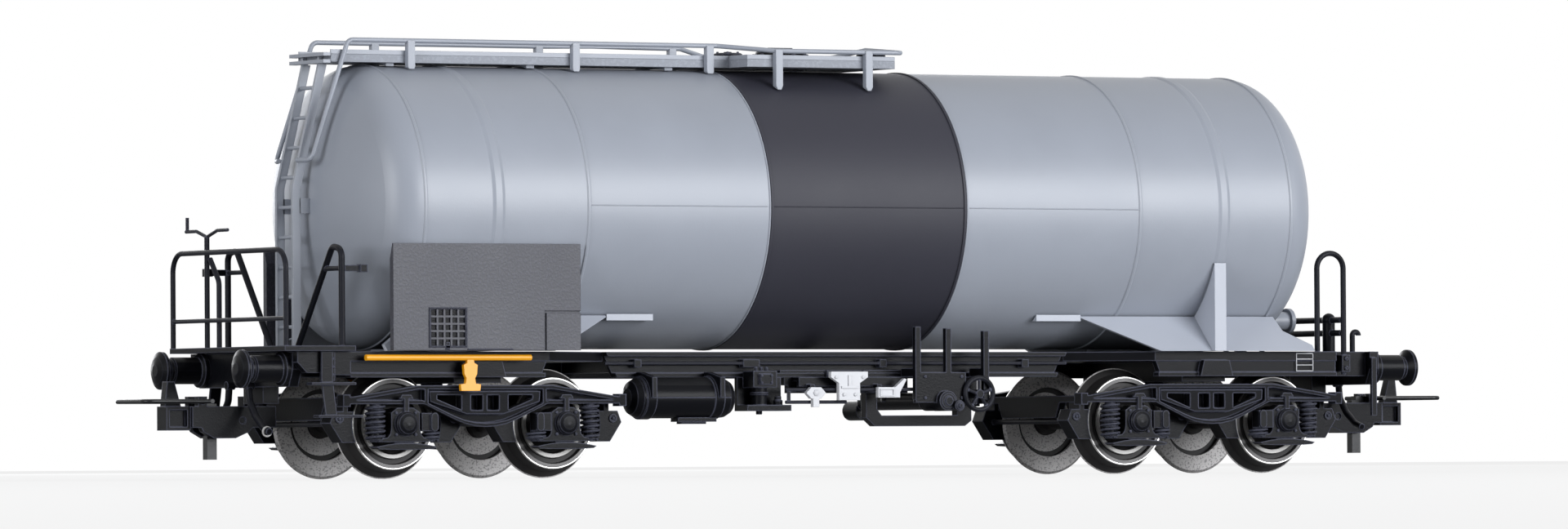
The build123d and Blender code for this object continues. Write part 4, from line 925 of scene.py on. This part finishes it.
# %% Fittings of the discharge gear
plate_bolt_profile = ((0, 0.2), (0.12, 0.2), (0.18, 0.12))
tap_profile = ((0, 0.95), (0.12, 0.9), (0.12, 0.55), (0.3, 0.5))
boss_profile = ((0, 0.5), (0.1, 0.5), (0.1, 0.3), (0.32, 0.26))
tap_sides, boss_sides = 24, 20
plate_face, tap_face, boss_face = 12.4, 13.1, 13.7
plate_bolts = ((9.5, 8.95), (9.5, 11.4), (14.4, 8.95), (14.4, 11.4))
tap_x, tap_z = 12.2, 8.6
boss_x, boss_z = 13.4, 8.05
outlet = Piece("discharge_fittings", "car", "black_plastic")
for x, z in plate_bolts:
    on_side(outlet, -1, x, plate_face, z, plate_bolt_profile)
on_side(outlet, -1, tap_x, tap_face, tap_z, tap_profile, tap_sides)
on_side(outlet, -1, boss_x, boss_face, boss_z, boss_profile, boss_sides)
outlet.finish()

# %% [markdown]
# The hoses at the platform end finish in a metal ring. It keeps the shine of the wheels' metal,
# and it is one closed tube, as a torus would be, but with the helpers that are already here.

# %% Rings of the hoses
ring_radius = 0.5
ring_wire = 0.13
ring_steps = 24
ring_x, ring_y, ring_z = -73.05, 6.95, 5.4
rings = Piece("hose_rings", "car", "wheel_metal")
for face in (-1, 1):
    around = circle(ring_radius, ring_steps)
    rings.tube([(ring_x + x, face * ring_y, ring_z + z) for x, z in around], ring_wire, closed=True)
rings.finish()

# %% [markdown]
# The sole bar at the plain end carries a small panel, a thin white outline with two cross lines.
# An image could draw it, but the finishes here need no images and no unwrapped faces. So four slabs
# lie across and two stand upright, only a few hundredths of a millimetre proud, as paint is.

# %% Blank panel of the sole bar
panel_face = 13.2
panel_thick = 0.04
panel_line = 0.09
panel_left, panel_right = 60.1, 62.4
panel_heights = (12.05, 12.75, 13.45, 14.1)
panel = Piece("blank_panel", "car", "white")
for face in (-1, 1):
    near, far = span(face, panel_face, panel_face + panel_thick)
    for z in panel_heights:
        panel.slab((panel_left, near, z - panel_line), (panel_right, far, z))
    for x in (panel_left, panel_right):
        panel.slab((x - panel_line, near, panel_heights[0] - panel_line), (x, far, panel_heights[-1]))
panel.finish()

# %% [markdown]
# The floor is a large pale sheet, wide enough that its edge is out of sight. A white floor that is
# only lit would come out grey, so to the camera most of it glows white, and the rest keeps the
# car's shadow.

# %% Floor
floor_half = 3.0
floor_grey = (0.62, 0.62, 0.62)
floor_rough = 0.9
glow_share = 0.82
white = tone((1, 1, 1))
floor = bpy.data.meshes.new("floor")
floor_corners = [(x * floor_half, y * floor_half, 0) for x, y in ((-1, -1), (1, -1), (1, 1), (-1, 1))]
floor.from_pydata(floor_corners, [], [(0, 1, 2, 3)])
made = bpy.data.objects.new("floor", floor)
bpy.context.collection.objects.link(made)
paper = Finish("floor")
paper.set(Base_Color=tone(floor_grey), Roughness=floor_rough)
seen = paper.node("LightPath", {}, {}, "Is Camera Ray")
glow = paper.node("Emission", {}, {"Color": white, "Strength": 1.0})
lit = Value(paper, paper.shader.outputs[0])
mixed = paper.node("MixShader", {}, {0: seen * glow_share, 1: lit, 2: glow})
paper.fill(paper.tree.nodes["Material Output"].inputs["Surface"], mixed)
floor.materials.append(paper.material)
print("floor", 2 * floor_half, "m wide")

# %% [markdown]
# The world stands for the white room of a product photograph. An image of a studio could be wrapped
# round the scene, but an even white needs no file. It is white to the camera and to reflections, so
# the black mouldings mirror a white room. To every other ray it is a weak light, or it would wash
# out the shadows of the lamps.

# %% World
fill_light = 0.12
world = bpy.data.worlds.new("world")
bpy.context.scene.world = world
world.use_nodes = True
sky = Graph(world.node_tree)
whiteness = sky.node("LightPath", {}, {}, "Is Camera Ray")
for ray in ("Is Glossy Ray", "Is Transmission Ray"):
    whiteness = whiteness.maths("MAXIMUM", sky.node("LightPath", {}, {}, ray))
strength = sky.node("MapRange", {}, {"Value": whiteness, "To Min": fill_light, "To Max": 1.0})
background = world.node_tree.nodes["Background"]
sky.fill(background.inputs["Strength"], strength)
sky.fill(background.inputs["Color"], white)
print("world light", fill_light)

# %% [markdown]
# A soft box in front, low and to the right, gives the broad bright stripe along the tank's side,
# because the tank mirrors it towards the camera. A sun lamp would give the same light everywhere,
# but no stripe, and hard shadows. One from the left lights the end with the platform and throws the
# ladder's shadow on it. Weak ones overhead and behind light the rest.

# %% Lamps
lamp_colour = (0.95, 0.97, 1)
lamp_target = Vector((0, 0, 0.03))
soft_boxes = (
    ("key", (0.5, -1.05, 0.27), 0.8, 0.46, 15),
    ("left", (-1.0, -0.3, 0.2), 0.5, 0.5, 6),
    ("over", (0, 0.15, 0.9), 0.9, 0.4, 0.35),
    ("back", (0.25, 1.2, 0.25), 0.9, 0.45, 4),
)


def soft_box(name, spot, width, height, power):
    """An area lamp at a place in metres, turned to the car."""
    data = bpy.data.lights.new(name, "AREA")
    data.shape = "RECTANGLE"
    data.size = width
    data.size_y = height
    data.energy = power
    data.color = lamp_colour
    made = bpy.data.objects.new(name, data)
    bpy.context.collection.objects.link(made)
    made.location = spot
    made.rotation_euler = (lamp_target - Vector(spot)).to_track_quat("-Z", "Y").to_euler()


for name, spot, width, height, power in soft_boxes:
    soft_box(name, spot, width, height, power)
print(len(soft_boxes), "lamps")
